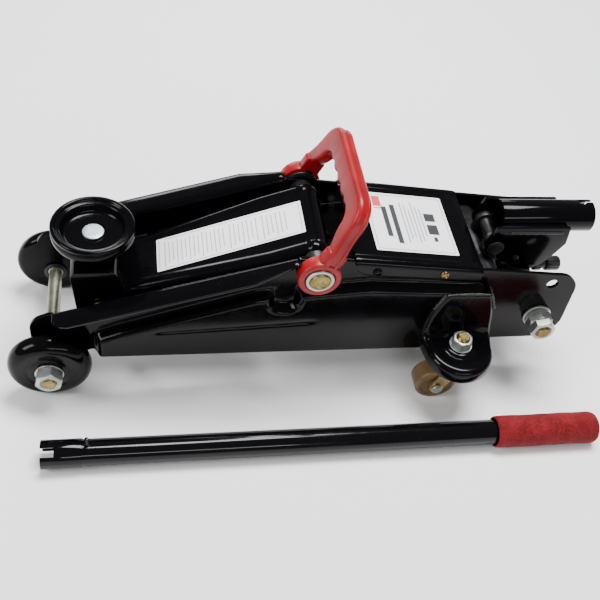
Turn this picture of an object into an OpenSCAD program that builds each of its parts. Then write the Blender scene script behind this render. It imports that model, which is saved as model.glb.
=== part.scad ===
/* [Overall] */
// Distance from the front axle to the lift arm's shaft
wheelbase_front = 201; // [195:1:210]
// Height of the bottom edge of the side plates above the floor
frame_clear = 37; // [34:1:39]
// Height of the saddle's rim above the floor with the arm down
saddle_height = 129; // [127:1:131]

/* [Frame] */
// Half the distance between the outer faces of the side plates' webs
web_y = 46; // [45:0.5:46]
// Thickness of the pressed side plates
sheet = 3; // [2.5:0.5:3.5]
// How far the lower bulge of a side plate stands out from its web
bulge_out = 9; // [7:1:9]
// Half the width over the turned-out top flanges
flange_y = 61; // [58:1:62]

/* [Wheels] */
// Radius of the front wheels
wheel_r = 32; // [30:0.5:32]
// Radius of the caster wheels
caster_r = 17.5; // [16:0.5:17.5]
// Distance from the centre plane to a caster's kingpin
caster_y = 72; // [71:1:75]

/* [Saddle and arm] */
// Radius of the saddle's rim
saddle_r = 31.5; // [29:0.5:32]
// Travel of the lift arm in degrees, used for the clearance of the crank
arm_travel = 65; // [50:1:65]
// Radius of the crank that the ram pushes
crank_r = 38; // [36:1:38]

/* [Lever] */
// Length of the loose pump lever
lever_len = 450; // [400:5:460]
// Outer radius of the lever's tube
lever_r = 11; // [10:0.25:11]
// Outer radius of the foam grip
grip_r = 13.5; // [13:0.5:14]
// Length of the foam grip
grip_len = 90; // [80:1:110]

/* [Hidden] */
$fn = 64;
fit = 0.06;    // radial clearance of a running fit
slack = 0.35;  // radial clearance of the linkage's open pivot
gap = 0.1;     // clearance between fixed pieces
eps = 0.01;

// Places, in the jack's own frame: x to the rear, y = 0 on the centre plane, z = 0 on the floor
arm_x = 11;
arm_z = 127;
axle_x = arm_x - wheelbase_front;
axle_z = wheel_r;
axle_r = 6;
web_in = web_y - sheet;
bulge_y = web_y + bulge_out;
shaft_r = 8;
saddle_x = -150;
saddle_pin_z = 73;
link_drop = 26;
pin_r = 5;
link_pin_r = 4.5;
flange_slope = 0.32;
rear_x = 233;
ram_z = 92;
crank_half = arm_travel / 2;
crank_pin_r = 4.5;
slot_play = 0.85;
crank_x = arm_x + crank_r * sin(crank_half);
crank_z = arm_z - crank_r * cos(crank_half);
socket_x0 = 166;
socket_x1 = 245;
socket_z = 138;
socket_r = 13;
socket_bore = lever_r + 0.3;
yoke_x = 163;
yoke_z = 121;
roller_x = 185;
roller_z = 108;
roller_r = 4.5;
valve_z = 81;
rear_bolt_x = 209;
rear_bolt_z = 66.8;
handle_in = 48.6;
handle_out = 59.6;
caster_x = 136;
caster_trail = 12;
shelf_z = 60;
lever_x0 = -195;
plug_len = 30;
lever_y = -125;
nut_out = 77;
wing_r = 28;
tube_r = 9.9;
// The row frame has its origin at the middle of the whole outline, on the floor
jack_x = -(axle_x - wheel_r + max(lever_x0 + lever_len, socket_x1)) / 2;
jack_y = -(lever_y - grip_r + caster_y + 1 + wing_r) / 2;

// Height of the flange's top surface, and of the side plates' top edge behind it
function flange_z(x) = arm_z + 15.72 + flange_slope * (x - arm_x);
function rear_top_z(x) = 121.4 - 0.10 * (x - 150);
function cover_z(x) = 129.1 - 0.11 * (x - 100);
function arm_top_z(x) = arm_z + 13 + 0.39 * (x - arm_x);
function arc(cx, cy, r, a0, a1, n) = [for (i = [0:n]) let (a = a0 + (a1 - a0) * i / n)
    [cx + r * cos(a), cy + r * sin(a)]];

module place() {
    translate([jack_x, jack_y, 0]) children();
}
// side = 1 is the right side, which is modelled, and -1 the left one, its mirror image
module on_side(side) {
    if (side > 0) children();
    else mirror([0, 1, 0]) children();
}
module both_sides() {
    for (side = [-1, 1]) on_side(side) children();
}
// A slab whose 2D child lies in the XZ plane, from y0 to y1
module slab(y0, y1) {
    translate([0, y1, 0]) rotate([90, 0, 0]) linear_extrude(y1 - y0) children();
}
module rod_y(r, y0, y1, x, z) {
    translate([x, y0, z]) rotate([-90, 0, 0]) cylinder(r = r, h = y1 - y0);
}
module tube_y(r, bore, y0, y1, x, z) {
    difference() {
        rod_y(r, y0, y1, x, z);
        rod_y(bore, y0 - 1, y1 + 1, x, z);
    }
}
module rod_x(r, x0, x1, y, z) {
    translate([x0, y, z]) rotate([0, 90, 0]) cylinder(r = r, h = x1 - x0);
}
module tube_x(r, bore, x0, x1, y, z) {
    difference() {
        rod_x(r, x0, x1, y, z);
        rod_x(bore, x0 - 1, x1 + 1, y, z);
    }
}
// A hexagonal nut on the Y axis, af across its flats
module nut_y(af, bore, y0, y1, x, z) {
    difference() {
        translate([x, y0, z]) rotate([-90, 0, 0]) cylinder(r = af / sqrt(3), h = y1 - y0, $fn = 6);
        rod_y(bore, y0 - 1, y1 + 1, x, z);
    }
}

// ---- Frame ----
function web_outline() = concat(
    arc(axle_x, axle_z, 14, 195, 300, 8),
    [[-157, frame_clear], [arm_x + 205, frame_clear]],
    arc(rear_x - 22, frame_clear + 24, 24, -75, 0, 5),
    arc(rear_x - 20, rear_top_z(rear_x) - 18, 20, 8, 88, 6),
    [[150, rear_top_z(150)], [145, cover_z(145) - 2.6], [44, cover_z(44) - 2.6],
     [8, flange_z(-6) - 1.5], [-6, flange_z(-6) - 1.5], [-184, flange_z(-184) - 1.5]],
    arc(axle_x + 2, 62, 15, 110, 180, 5));

// Outline of the lower bulge, shrunk by d all round but for its bottom edge, which is at low
function bulge_outline(d, low) = [
    [-157 + d, low], [-157 + d, 58 - d], [-137, 67 - d], [-34, 104 - d],
    [53, 113.6 - d], [146, 108 - d], [159 - d, 99 - d], [166 - d, low]];

// The bulge in two steps, from y0 outward, with its faces moved in by d
module bulge(d, y0, low) {
    slab(y0, web_y + bulge_out / 2 - d) polygon(bulge_outline(1 + d, low));
    slab(y0, bulge_y - d) polygon(bulge_outline(4.5 + d, low));
}
module side_plate(side) {
    slope = atan(flange_slope);
    color("black") place() on_side(side) difference() {
        union() {
            slab(web_in, web_y) polygon(web_outline());
            bulge(0, web_in + 1, frame_clear);
            // flange turned out along the top edge, tapering away at the shaft
            translate([-186, 0, flange_z(-186)]) rotate([0, -slope, 0]) translate([0, 0, -sheet])
                linear_extrude(sheet) polygon(concat(
                    arc(10, flange_y - 10, 10, 180, 90, 5),
                    [[156, flange_y], [188, web_y + 6], [188, web_y - 1], [0, web_y - 1]]));
        }
        // hollow behind the bulge, open below
        bulge(sheet, web_in - 1, frame_clear - 5);
        rod_y(axle_r + gap, 30, 70, axle_x, axle_z);
        rod_y(shaft_r + gap, 30, 70, arm_x, arm_z);
        rod_y(6 + gap, 30, 70, rear_bolt_x, rear_bolt_z);
        rod_y(5, 30, 70, 210, 104.5);
        rod_y(1.9, 30, 70, 113, 120);
        rod_y(1.9, 30, 70, 58, 124);
    }
}
module front_axle() {
    color("silver") place() {
        rod_y(5.4, -41, 41, axle_x, axle_z);
        both_sides() rod_y(axle_r, 41 - eps, nut_out, axle_x, axle_z);
    }
}
module axle_clips() {
    color("silver") place() both_sides() tube_y(9.5, axle_r + gap, 41.2, 42.8, axle_x, axle_z);
}
module front_wheel_washers() {
    color("silver") place() both_sides() {
        tube_y(10, axle_r + gap, web_y + 0.2, web_y + 1.4, axle_x, axle_z);
        tube_y(11, axle_r + gap, 65.6, 66.7, axle_x, axle_z);
    }
}
module front_wheel_nuts() {
    color("silver") place() both_sides() nut_y(19, axle_r + gap, 66.8, 76, axle_x, axle_z);
}
// Rounded tread with a larger outer shoulder, and a hub that meets the washer
module front_wheel(side) {
    mid = 56.5;
    color("black") place() on_side(side) translate([axle_x, 0, axle_z]) rotate([-90, 0, 0])
        rotate_extrude() difference() {
            union() {
                translate([wheel_r - 9, mid]) circle(9);
                translate([wheel_r - 6.5, mid]) circle(6.5);
                polygon([[0, 50], [wheel_r - 6.5, 50], [wheel_r - 6.5, mid],
                    [wheel_r - 9, 65.5], [0, 65.5]]);
                translate([0, 47.6]) square([10, 3]);
            }
            square([axle_r + fit, 90]);
            translate([13.5, 64.7]) square([4.5, 2]);
        }
}
module lift_arm_shaft() {
    color("goldenrod") place() rod_y(shaft_r, -62, 62, arm_x, arm_z);
}
module shaft_rings() {
    color("silver") place() both_sides() tube_y(10.8, shaft_r + gap, handle_out - 2.2, handle_out + 0.8, arm_x, arm_z);
}
module shaft_washers() {
    color("silver") place() both_sides() tube_y(14, shaft_r + gap, web_y + 0.2, web_y + 1.8, arm_x, arm_z);
}
// Shoulder pins, one welded into each side plate, that the link rods turn on
module link_anchor_pins() {
    color("silver") place() both_sides() {
        rod_y(link_pin_r + 1.5, 24, web_y, arm_x, arm_z - link_drop);
        rod_y(link_pin_r, 17.2, 24 + eps, arm_x, arm_z - link_drop);
        rod_y(7, 15.6, 17.2 + eps, arm_x, arm_z - link_drop);
    }
}
// A tube across the frame behind the front wheels, between the bulges' hollow sides
module frame_cross_tube() {
    color([0.13, 0.13, 0.14]) place() tube_y(5, 3, -web_y - bulge_out + sheet + gap, web_y + bulge_out - sheet - gap,
        -105, 48);
}

// ---- Cover ----
module cover_plate() {
    t = 2;
    out = web_y + 0.2 + t;
    x0 = 40;
    x1 = 145;
    color("black") place() difference() {
        slab(-out, out) polygon([[x0, cover_z(x0)], [x1, cover_z(x1)], [x1, cover_z(x1) - 13],
            [x0 + 14, cover_z(x0) - 15], [x0 + 5, cover_z(x0) - 12], [x0, cover_z(x0) - 5]]);
        slab(-out + t, out - t) polygon([[x0 - 1, cover_z(x0 - 1) - t], [x1 + 1, cover_z(x1 + 1) - t],
            [x1 + 1, 80], [x0 - 1, 80]]);
        both_sides() {
            rod_y(1.9, 40, 60, 113, 120);
            rod_y(1.9, 40, 60, 58, 124);
        }
    }
}
module cover_screws() {
    color("goldenrod") place() both_sides() for (p = [[113, 120], [58, 124]]) {
        rod_y(1.8, 41, 48.3 + eps, p[0], p[1]);
        translate([p[0], 48.3, p[1]]) rotate([-90, 0, 0]) cylinder(r1 = 3.6, r2 = 2.4, h = 2.2);
    }
}
module cover_nuts() {
    color("goldenrod") place() both_sides() for (p = [[113, 120], [58, 124]])
        nut_y(8, 1.9, 40, web_in - gap, p[0], p[1]);
}

// ---- Hydraulic unit ----
module pump_block() {
    ear_in = 10;
    ear_out = 15.5;
    color([0.13, 0.13, 0.14]) place() difference() {
        union() {
            slab(-42.8, 42.8) polygon([[128, 48], [168, 48], [168, 104], [160, 110], [128, 112]]);
            // body of the pump, which the rear bolt passes through
            slab(-14.5, 14.5) {
                polygon([[167, 50], [201, 50], [207, 59], [207, 88], [167, 88]]);
                translate([rear_bolt_x, rear_bolt_z]) circle(9.5);
            }
            // ears for the socket's pin
            for (s = [-1, 1]) slab(s * (ear_in + ear_out) / 2 - 2.75, s * (ear_in + ear_out) / 2 + 2.75) {
                translate([yoke_x, yoke_z]) circle(8);
                polygon([[yoke_x - 8, 95], [yoke_x + 8, 95], [yoke_x + 8, yoke_z], [yoke_x - 8, yoke_z]]);
            }
        }
        rod_y(pin_r + gap, -30, 30, yoke_x, yoke_z);
        translate([roller_x, 0, 58]) cylinder(r = 9 + gap, h = 50);
        translate([138, -26, 105]) cylinder(r = 5 + gap, h = 20);
        rod_x(5 + fit, 197, 210, 0, valve_z);
        rod_y(6 + gap, -30, 30, rear_bolt_x, rear_bolt_z);
        // seat of the cylinder
        rod_x(18 + gap, 120, 134, 0, ram_z);
        // recess behind the ears, where the socket swings
        translate([168.1, -ear_in, 88]) cube([40, 2 * ear_in, 40]);
    }
}
module oil_cylinder() {
    color("silver") place() difference() {
        rod_x(18, 60, 134, 0, ram_z);
        rod_x(14, 59, 128, 0, ram_z);
    }
}
module oil_reservoir() {
    color([0.13, 0.13, 0.14]) place() tube_x(26, 23.5, 64, 127.9, 0, ram_z);
}
module cylinder_gland() {
    color("silver") place() difference() {
        union() {
            rod_x(26, 57, 63.9, 0, ram_z);
            rod_x(23.4, 63.8, 67, 0, ram_z);
        }
        rod_x(9 + fit, 50, 80, 0, ram_z);
        rod_x(18 + gap, 60, 80, 0, ram_z);
    }
}
module oil_filler_plug() {
    color([0.1, 0.1, 0.1]) place() translate([138, -26, 105.2]) {
        cylinder(r = 5, h = 7);
        translate([0, 0, 6.9]) cylinder(r1 = 7, r2 = 6, h = 3);
    }
}
module pump_barrel() {
    color("silver") place() difference() {
        union() {
            translate([roller_x, 0, 58.2]) cylinder(r = 9, h = 30);
            translate([roller_x, 0, 88.1]) cylinder(r = 19 / sqrt(3), h = 4, $fn = 6);
        }
        translate([roller_x, 0, 62]) cylinder(r = 5 + fit, h = 50);
    }
}
module rear_frame_bolt() {
    color("silver") place() {
        rod_y(6, -67.5, 53.5, rear_bolt_x, rear_bolt_z);
        translate([rear_bolt_x, 46.2, rear_bolt_z]) rotate([-90, 0, 0]) cylinder(r = 19 / sqrt(3), h = 7.4, $fn = 6);
    }
}
module rear_frame_nut() {
    color("silver") place() {
        tube_y(12, 6 + gap, -web_y - 2.6, -web_y - 0.2, rear_bolt_x, rear_bolt_z);
        nut_y(19, 6 + gap, -web_y - 13, -web_y - 2.8, rear_bolt_x, rear_bolt_z);
        nut_y(19, 6 + gap, -web_y - 20, -web_y - 13.2, rear_bolt_x, rear_bolt_z);
    }
}
module bolt_spacers() {
    color([0.13, 0.13, 0.14]) place() both_sides() tube_y(9, 6 + gap, 14.7, web_in - gap, rear_bolt_x, rear_bolt_z);
}
// Plain sleeves with a closed hook at each end, in the room of the two extension springs
module return_springs() {
    color("silver") place() both_sides() {
        tube_x(4.5, 3.2, 52, 120, 33, 80);
        translate([34, 31.8, 78.8]) cube([18.2, 2.4, 2.4]);
        translate([119.8, 31.8, 78.8]) cube([8, 2.4, 2.4]);
    }
}
module socket_pin() {
    color("silver") place() {
        rod_y(pin_r, -21.5, 21.5, yoke_x, yoke_z);
        both_sides() rod_y(7, 20.2, 21.5, yoke_x, yoke_z);
    }
}

// ---- Rear casters ----
// Outline of the wing seen from above, shrunk by d: x along the frame, y outward
function wing_outline(d) = concat(
    [[caster_x + 30 - d, bulge_y + 0.2]],
    arc(caster_x, caster_y + 1, wing_r - d, 0, 180, 16),
    [[caster_x - 32 + d, bulge_y + 0.2]]);
module wing_band(t) {
    translate([60, 0, 0]) rotate([90, 0, 90]) linear_extrude(150) polygon([
        [bulge_y + 0.2, 104], [bulge_y + 2.6, 104], [bulge_y + 3.2, 80], [bulge_y + 4.4, 68],
        [bulge_y + 6.9, 61.3], [bulge_y + 9.5, shelf_z], [110, shelf_z], [110, shelf_z - t],
        [bulge_y + 8, shelf_z - t],
        [bulge_y + 0.2, shelf_z - t + 2]]);
}
module caster_wing(side) {
    color("black") place() on_side(side) difference() {
        union() {
            intersection() {
                wing_band(3);
                translate([0, 0, 30]) linear_extrude(100) polygon(wing_outline(0));
            }
            // turned-down rim
            intersection() {
                translate([0, 0, shelf_z - 11]) linear_extrude(11) difference() {
                    polygon(wing_outline(0));
                    polygon(concat([[caster_x + 28, 0]], wing_outline(3), [[caster_x - 30, 0]]));
                }
                translate([50, bulge_y + 0.2, 0]) cube([200, 100, 100]);
            }
            translate([caster_x, caster_y, shelf_z - eps]) cylinder(r = 12, h = 1.5);
        }
        translate([caster_x, caster_y, 30]) cylinder(r = 5 + gap, h = 60);
    }
}
module caster_kingpins() {
    color("silver") place() both_sides() translate([caster_x, caster_y, 0]) {
        translate([0, 0, 45]) cylinder(r = 5, h = 27.5);
        translate([0, 0, 42]) cylinder(r = 8, h = 3 + eps);
    }
}
module caster_nuts() {
    color("silver") place() both_sides() translate([caster_x, caster_y, shelf_z + 1.6]) difference() {
        union() {
            cylinder(r = 9.5, h = 1.4);
            translate([0, 0, 1.4 - eps]) cylinder(r = 15 / sqrt(3), h = 8, $fn = 6);
        }
        translate([0, 0, -1]) cylinder(r = 5 + gap, h = 20);
    }
}
module caster_races() {
    color("silver") place() both_sides() translate([caster_x, caster_y, 49.1]) difference() {
        cylinder(r1 = 13, r2 = 15.5, h = 7.6);
        translate([0, 0, -1]) cylinder(r = 5 + gap, h = 20);
    }
}
// The fork trails forward under the kingpin, as it stands after the jack is pulled back
module caster_fork(side) {
    cheek = 9.5;
    color([0.78, 0.66, 0.36]) place() on_side(side) difference() {
        translate([caster_x, caster_y, 0]) {
            difference() {
                translate([0, 0, 45.2]) cylinder(r = 14.5, h = 3.7);
                translate([0, 0, 40]) cylinder(r = 5 + fit, h = 20);
            }
            for (s = [-1, 1]) slab(s * (cheek + 1) - 1, s * (cheek + 1) + 1) difference() {
                union() {
                    translate([-caster_trail, caster_r]) circle(6);
                    polygon([[-9.5, 45.4], [7, 45.4], [-caster_trail + 5.9, caster_r],
                        [-caster_trail - 5.9, caster_r]]);
                }
                translate([-caster_trail, caster_r]) circle(3 + gap);
            }
        }
    }
}
module caster_axle(side) {
    color("silver") place() on_side(side) {
        rod_y(3, caster_y - 12.6, caster_y + 12.6, caster_x - caster_trail, caster_r);
        for (s = [-1, 1]) rod_y(4.6, caster_y + s * 12.8 - 1.1, caster_y + s * 12.8 + 1.1,
            caster_x - caster_trail, caster_r);
    }
}
module caster_wheel(side) {
    w = 9;
    color([0.75, 0.6, 0.32]) place() on_side(side)
        translate([caster_x - caster_trail, caster_y, caster_r]) rotate([-90, 0, 0])
            rotate_extrude() difference() {
                union() {
                    for (s = [-1, 1]) translate([caster_r - 3, s * (w - 3)]) circle(3);
                    translate([0, -w]) square([caster_r - 3, 2 * w]);
                    translate([0, -w + 3]) square([caster_r, 2 * w - 6]);
                }
                translate([0, -w - 1]) square([3 + fit, 2 * w + 2]);
                for (s = [-1, 1]) translate([6, s * w - 1]) square([7, 2]);
            }
}

// ---- Lift arm ----
function arm_side_outline(d) = concat(
    [[saddle_x + 13, arm_top_z(saddle_x + 13) - d]],
    arc(arm_x, arm_z, 13 - d, 108, -25, 12));
// Half the arm's width at its two ends
arm_rear_y = 38.5;
arm_front_y = 29;
function arm_plan(d) = [[saddle_x - 20, arm_front_y - d], [saddle_x + 28, arm_front_y - d],
    [-25, arm_rear_y - d], [60, arm_rear_y - d], [60, -arm_rear_y + d], [-25, -arm_rear_y + d],
    [saddle_x + 28, -arm_front_y + d], [saddle_x - 20, -arm_front_y + d]];
module lift_arm() {
    t = 3;
    color("black") place() difference() {
        intersection() {
            union() {
                // top sheet, rolled down behind the shaft
                slab(-50, 50) polygon(concat(arm_side_outline(0), [[arm_x + 6, arm_z + 2]],
                    [for (i = [12:-1:0]) arm_side_outline(t)[i + 1]], [arm_side_outline(t)[0]]));
                // side cheeks
                difference() {
                    slab(-50, 50) {
                        polygon(concat(arm_side_outline(0), [[arm_x + 8, arm_z - 12], [arm_x - 2, arm_z - 16],
                            [arm_x - 60, arm_z - 37], [saddle_x + 38, saddle_pin_z - 1],
                            [saddle_x + 4, saddle_pin_z - 10.6], [saddle_x - 5, saddle_pin_z + 9.8]]));
                        translate([saddle_x, saddle_pin_z]) circle(11);
                    }
                    translate([0, 0, 30]) linear_extrude(150) polygon(arm_plan(t));
                }
            }
            linear_extrude(200) polygon(arm_plan(0));
        }
        rod_y(tube_r + gap, -60, 60, arm_x, arm_z);
        rod_y(pin_r + gap, -60, 60, saddle_x, saddle_pin_z);
    }
}
module arm_pivot_tube() {
    color([0.13, 0.13, 0.14]) place() tube_y(tube_r, shaft_r + fit, -42.6, 42.6, arm_x, arm_z);
}
// Two lugs welded below the pivot tube
module arm_crank() {
    c = 8.3 * cos(crank_half);
    d = 8.3 * sin(crank_half);
    color([0.13, 0.13, 0.14]) place() both_sides() difference() {
        slab(8.2, 14) {
            translate([crank_x, crank_z]) circle(8.5);
            polygon([[arm_x + 9.5, arm_z - 7.4], [arm_x, arm_z], [arm_x - 6.5, arm_z - 10.6],
                [crank_x - c, crank_z - d], [crank_x + c, crank_z + d]]);
        }
        rod_y(tube_r + gap, 5, 20, arm_x, arm_z);
        rod_y(crank_pin_r + gap, 5, 20, crank_x, crank_z);
    }
}
module crank_pin() {
    color("silver") place() {
        rod_y(crank_pin_r, -15.2, 15.2, crank_x, crank_z);
    }
}
module saddle_pin() {
    color("goldenrod") place() {
        rod_y(pin_r, -35.5, 35.5, saddle_x, saddle_pin_z);
        both_sides() rod_y(6.2, 33.6, 35.5, saddle_x, saddle_pin_z);
    }
}

// ---- Saddle ----
module saddle_bracket() {
    t = 3;
    half = 33;
    top = saddle_height - 19.2;
    color("black") place() difference() {
        slab(-half, half) polygon([[-168, 66], [-171, top - 4], [-168, top], [-139, top], [-135, top - 6],
            [-131, 84], [-138, 42], [saddle_x + 9, saddle_pin_z - link_drop - 9], [saddle_x - 9, saddle_pin_z - link_drop - 9],
            [-160, 42]]);
        slab(-half + t, half - t) polygon([[-200, 20], [-200, top - t - 1], [-100, top - t - 1], [-100, 20]]);
        rod_y(pin_r + fit, -50, 50, saddle_x, saddle_pin_z);
        rod_y(link_pin_r + gap, -50, 50, saddle_x, saddle_pin_z - link_drop);
        translate([saddle_x - 4, 0, 80]) cylinder(r = 5 + gap, h = 60);
    }
}
module link_pin() {
    color("silver") place() {
        rod_y(link_pin_r, -35, 35, saddle_x, saddle_pin_z - link_drop);
        both_sides() rod_y(6.2, 33.2, 35, saddle_x, saddle_pin_z - link_drop);
    }
}
// A dished cup with a raised rim, a step inside it and a flat floor round the rivet
module saddle() {
    z = saddle_height;
    color("black") place() translate([saddle_x - 4, 0, 0]) rotate_extrude() difference() {
        polygon([[0, z - 19], [17, z - 19], [22, z - 16.5], [28, z - 13], [saddle_r - 0.6, z - 11],
            [saddle_r, z - 9.5], [saddle_r, z - 1.2], [saddle_r - 1, z], [saddle_r - 3.2, z],
            [saddle_r - 4.6, z - 2.2], [saddle_r - 7, z - 2.6], [saddle_r - 9, z - 8.4],
            [saddle_r - 10.5, z - 9.6], [0, z - 9.6]]);
        translate([0, z - 30]) square([5 + fit, 40]);
    }
}
module saddle_rivet() {
    z = saddle_height;
    color("lightgray") place() translate([saddle_x - 4, 0, 0]) {
        translate([0, 0, z - 25.5]) cylinder(r = 5, h = 17);
        translate([0, 0, z - 9.4]) cylinder(r = 8.2, h = 1.6);
        translate([0, 0, z - 7.9]) cylinder(r1 = 8.2, r2 = 7.6, h = 0.5);
        translate([0, 0, z - 26.5]) cylinder(r = 7.5, h = 3);
    }
}
module link_rod(side) {
    z0 = arm_z - link_drop;
    z1 = saddle_pin_z - link_drop;
    color("black") place() on_side(side) slab(18, 23) difference() {
        union() {
            translate([arm_x, z0]) circle(8);
            translate([saddle_x, z1]) circle(8);
            polygon([[arm_x + 1.6, z0 - 4.8], [arm_x - 1.6, z0 + 4.8], [saddle_x - 1.6, z1 + 4.8], [saddle_x + 1.6, z1 - 4.8]]);
        }
        translate([arm_x, z0]) circle(link_pin_r + fit);
        translate([saddle_x, z1]) circle(link_pin_r + slack);
    }
}

// ---- Ram ----
module ram() {
    color("silver") place() {
        rod_x(9, 46, 112.1, 0, ram_z);
        rod_x(14 - fit, 112, 124, 0, ram_z);
    }
}
// The head has an upright slot, because the crank's pin rises and falls as it swings
module ram_crosshead() {
    rise = crank_r * (1 - cos(crank_half)) / 2;
    color([0.13, 0.13, 0.14]) place() difference() {
        union() {
            translate([crank_x - 9, -7.6, ram_z - 12.5]) cube([54.5 - crank_x - 9 + 1.5, 15.2, 25]);
            translate([41.5, -30.4, 75]) cube([4.5, 60.8, 10]);
            both_sides() translate([38, 30.2, 76]) cube([8, 5.6, 2.2]);
        }
        translate([45.9, -20, 60]) cube([30, 40, 60]);
        // slot
        slab(-20, 20) polygon([[crank_x - crank_pin_r - slot_play, ram_z - rise - 5.2], [crank_x + crank_pin_r + slot_play, ram_z - rise - 5.2],
            [crank_x + crank_pin_r + slot_play, ram_z + rise + 5.2], [crank_x - crank_pin_r - slot_play, ram_z + rise + 5.2]]);
    }
}

// ---- Pump ----
module handle_socket() {
    color("black") place() difference() {
        union() {
            rod_x(socket_r, socket_x0, socket_x1, 0, socket_z);
            // two cheeks below the tube, which straddle the ears and carry the roller
            for (s = [-1, 1]) slab(s * 17.6 - 1.5, s * 17.6 + 1.5) {
                translate([yoke_x, yoke_z]) circle(9);
                polygon([[yoke_x - 8.5, yoke_z + 3], [160, socket_z + 3], [222, socket_z + 3], [224, 124],
                    [216, 108], [209, 98.5], [202, 95], [192, 95], [186, 97], [180, 101], [169, 107],
                    [yoke_x + 7, yoke_z - 6]]);
            }
            for (s = [-1, 1]) translate([socket_x0 + 1, s * 14.9 - 4.2, socket_z - 2]) cube([54, 8.4, 4]);
        }
        rod_x(socket_bore, socket_x0 - 1, socket_x1 + 1, 0, socket_z);
        rod_y(pin_r + fit, -30, 30, yoke_x, yoke_z);
        rod_y(3 + gap, -30, 30, roller_x, roller_z);
        // key-hole notch in the open end
        translate([socket_x1 - 9, 0, socket_z]) rotate([-15, 0, 0]) {
            cylinder(r = 4, h = 30);
            translate([0, -2, 0]) cube([20, 4, 30]);
        }
    }
}
module socket_roller() {
    color("silver") place() {
        rod_y(3, -19.6, 19.6, roller_x, roller_z);
        rod_y(roller_r, -7, 7, roller_x, roller_z);
    }
}
plunger_top = roller_z - roller_r - 0.7;
module pump_plunger() {
    color("silver") place() translate([roller_x, 0, 0]) {
        translate([0, 0, 63]) cylinder(r = 5, h = plunger_top - 63 - 2.4);
        translate([0, 0, plunger_top - 2.5]) cylinder(r = 8, h = 2.5);
    }
}
// A plain sleeve in the room of the spring that lifts the plunger
module plunger_spring() {
    color("silver") place() translate([roller_x, 0, 92.3]) difference() {
        cylinder(r = 7.4, h = plunger_top - 2.7 - 92.3);
        translate([0, 0, -1]) cylinder(r = 5.6, h = 20);
    }
}
module release_valve() {
    color([0.12, 0.12, 0.12]) place() difference() {
        union() {
            rod_x(5, 197.2, 208, 0, valve_z);
            rod_x(4, 208 - eps, 217, 0, valve_z);
            rod_x(6.2, 216, 223, 0, valve_z);
            rod_x(4.6, 223 - eps, 227, 0, valve_z);
            rod_x(6.4, 227 - eps, 240, 0, valve_z);
        }
        translate([235, -1.5, 60]) cube([10, 3, 40]);
    }
}

// ---- Carrying handle ----
handle_lean = 66;
// The handle is drawn flat: x across, y along its legs from the shaft
module carry_handle() {
    top = 68;
    grip_w = 18;
    thick = 12;
    mid = (handle_in + handle_out) / 2;
    color("red") place() translate([arm_x, 0, arm_z]) rotate([0, 90 - handle_lean, 0]) difference() {
        union() {
            // bosses round the shaft
            both_sides() rod_y(16.5, handle_in, handle_out, 0, 0);
            // legs, shoulders and grip
            rotate([90, 0, 90]) translate([0, 0, -thick / 2]) linear_extrude(thick) difference() {
                polygon(concat([[handle_out, 0], [handle_out, 25]], arc(36, top - 18, 18, 5, 90, 7),
                    arc(-36, top - 18, 18, 90, 175, 7), [[-handle_out, 25], [-handle_out, 0]]));
                polygon(concat([[handle_in, -1], [handle_in, 22]], arc(27, top - grip_w - 12, 12, 0, 80, 5),
                    arc(-27, top - grip_w - 12, 12, 100, 180, 5), [[-handle_in, 22], [-handle_in, -1]]));
            }
            // steps where the legs widen into the bosses
            both_sides() translate([-8.5, handle_in, 0]) cube([17, mid - handle_in + 3, 27]);
            // finger ribs under the grip
            for (i = [-2:2]) translate([-thick / 2, i * 13.5, top - grip_w - 0.5]) rotate([0, 90, 0])
                cylinder(r = 4.5, h = thick);
        }
        rod_y(shaft_r + fit, -80, 80, 0, 0);
        both_sides() translate([0, handle_out - 2.5, 0]) rotate([-90, 0, 0]) cylinder(r = 11.2, h = 5);
    }
}

// ---- Lever ----
module lever_tube() {
    color("black") place() difference() {
        union() {
            rod_x(lever_r, lever_x0, lever_x0 + plug_len, lever_y, lever_r);
            rod_x(lever_r - 0.6, lever_x0 + plug_len - eps, lever_x0 + lever_len - 3, lever_y, lever_r);
        }
        rod_x(lever_r - 1.6, lever_x0 - 1, lever_x0 + lever_len, lever_y, lever_r);
        // the end is notched to turn the release valve
        translate([lever_x0 - 1, lever_y, lever_r]) rotate([25, 0, 0]) translate([0, -3.5, -20]) cube([11, 7, 40]);
        translate([lever_x0 + 34, lever_y, lever_r]) cylinder(r = 1.5 + gap, h = 20);
    }
}
module lever_grip() {
    color("firebrick") place() difference() {
        union() {
            rod_x(grip_r, lever_x0 + lever_len - grip_len, lever_x0 + lever_len - 5, lever_y, lever_r);
            translate([lever_x0 + lever_len - 5, lever_y, lever_r]) rotate([0, 90, 0])
                cylinder(r1 = grip_r, r2 = grip_r - 4, h = 5);
        }
        rod_x(lever_r - 0.6 + gap, lever_x0, lever_x0 + lever_len - 2.8, lever_y, lever_r);
        // the foam is pressed flat where it lies on the floor
        translate([lever_x0, lever_y - 40, -20]) cube([lever_len + 20, 80, 20]);
    }
}
module lever_stub() {
    color("black") place() translate([lever_x0 + 34, lever_y, lever_r + 7]) {
        cylinder(r = 1.5, h = 12.5);
        cylinder(r = 2.6, h = 1.8);
    }
}

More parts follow.
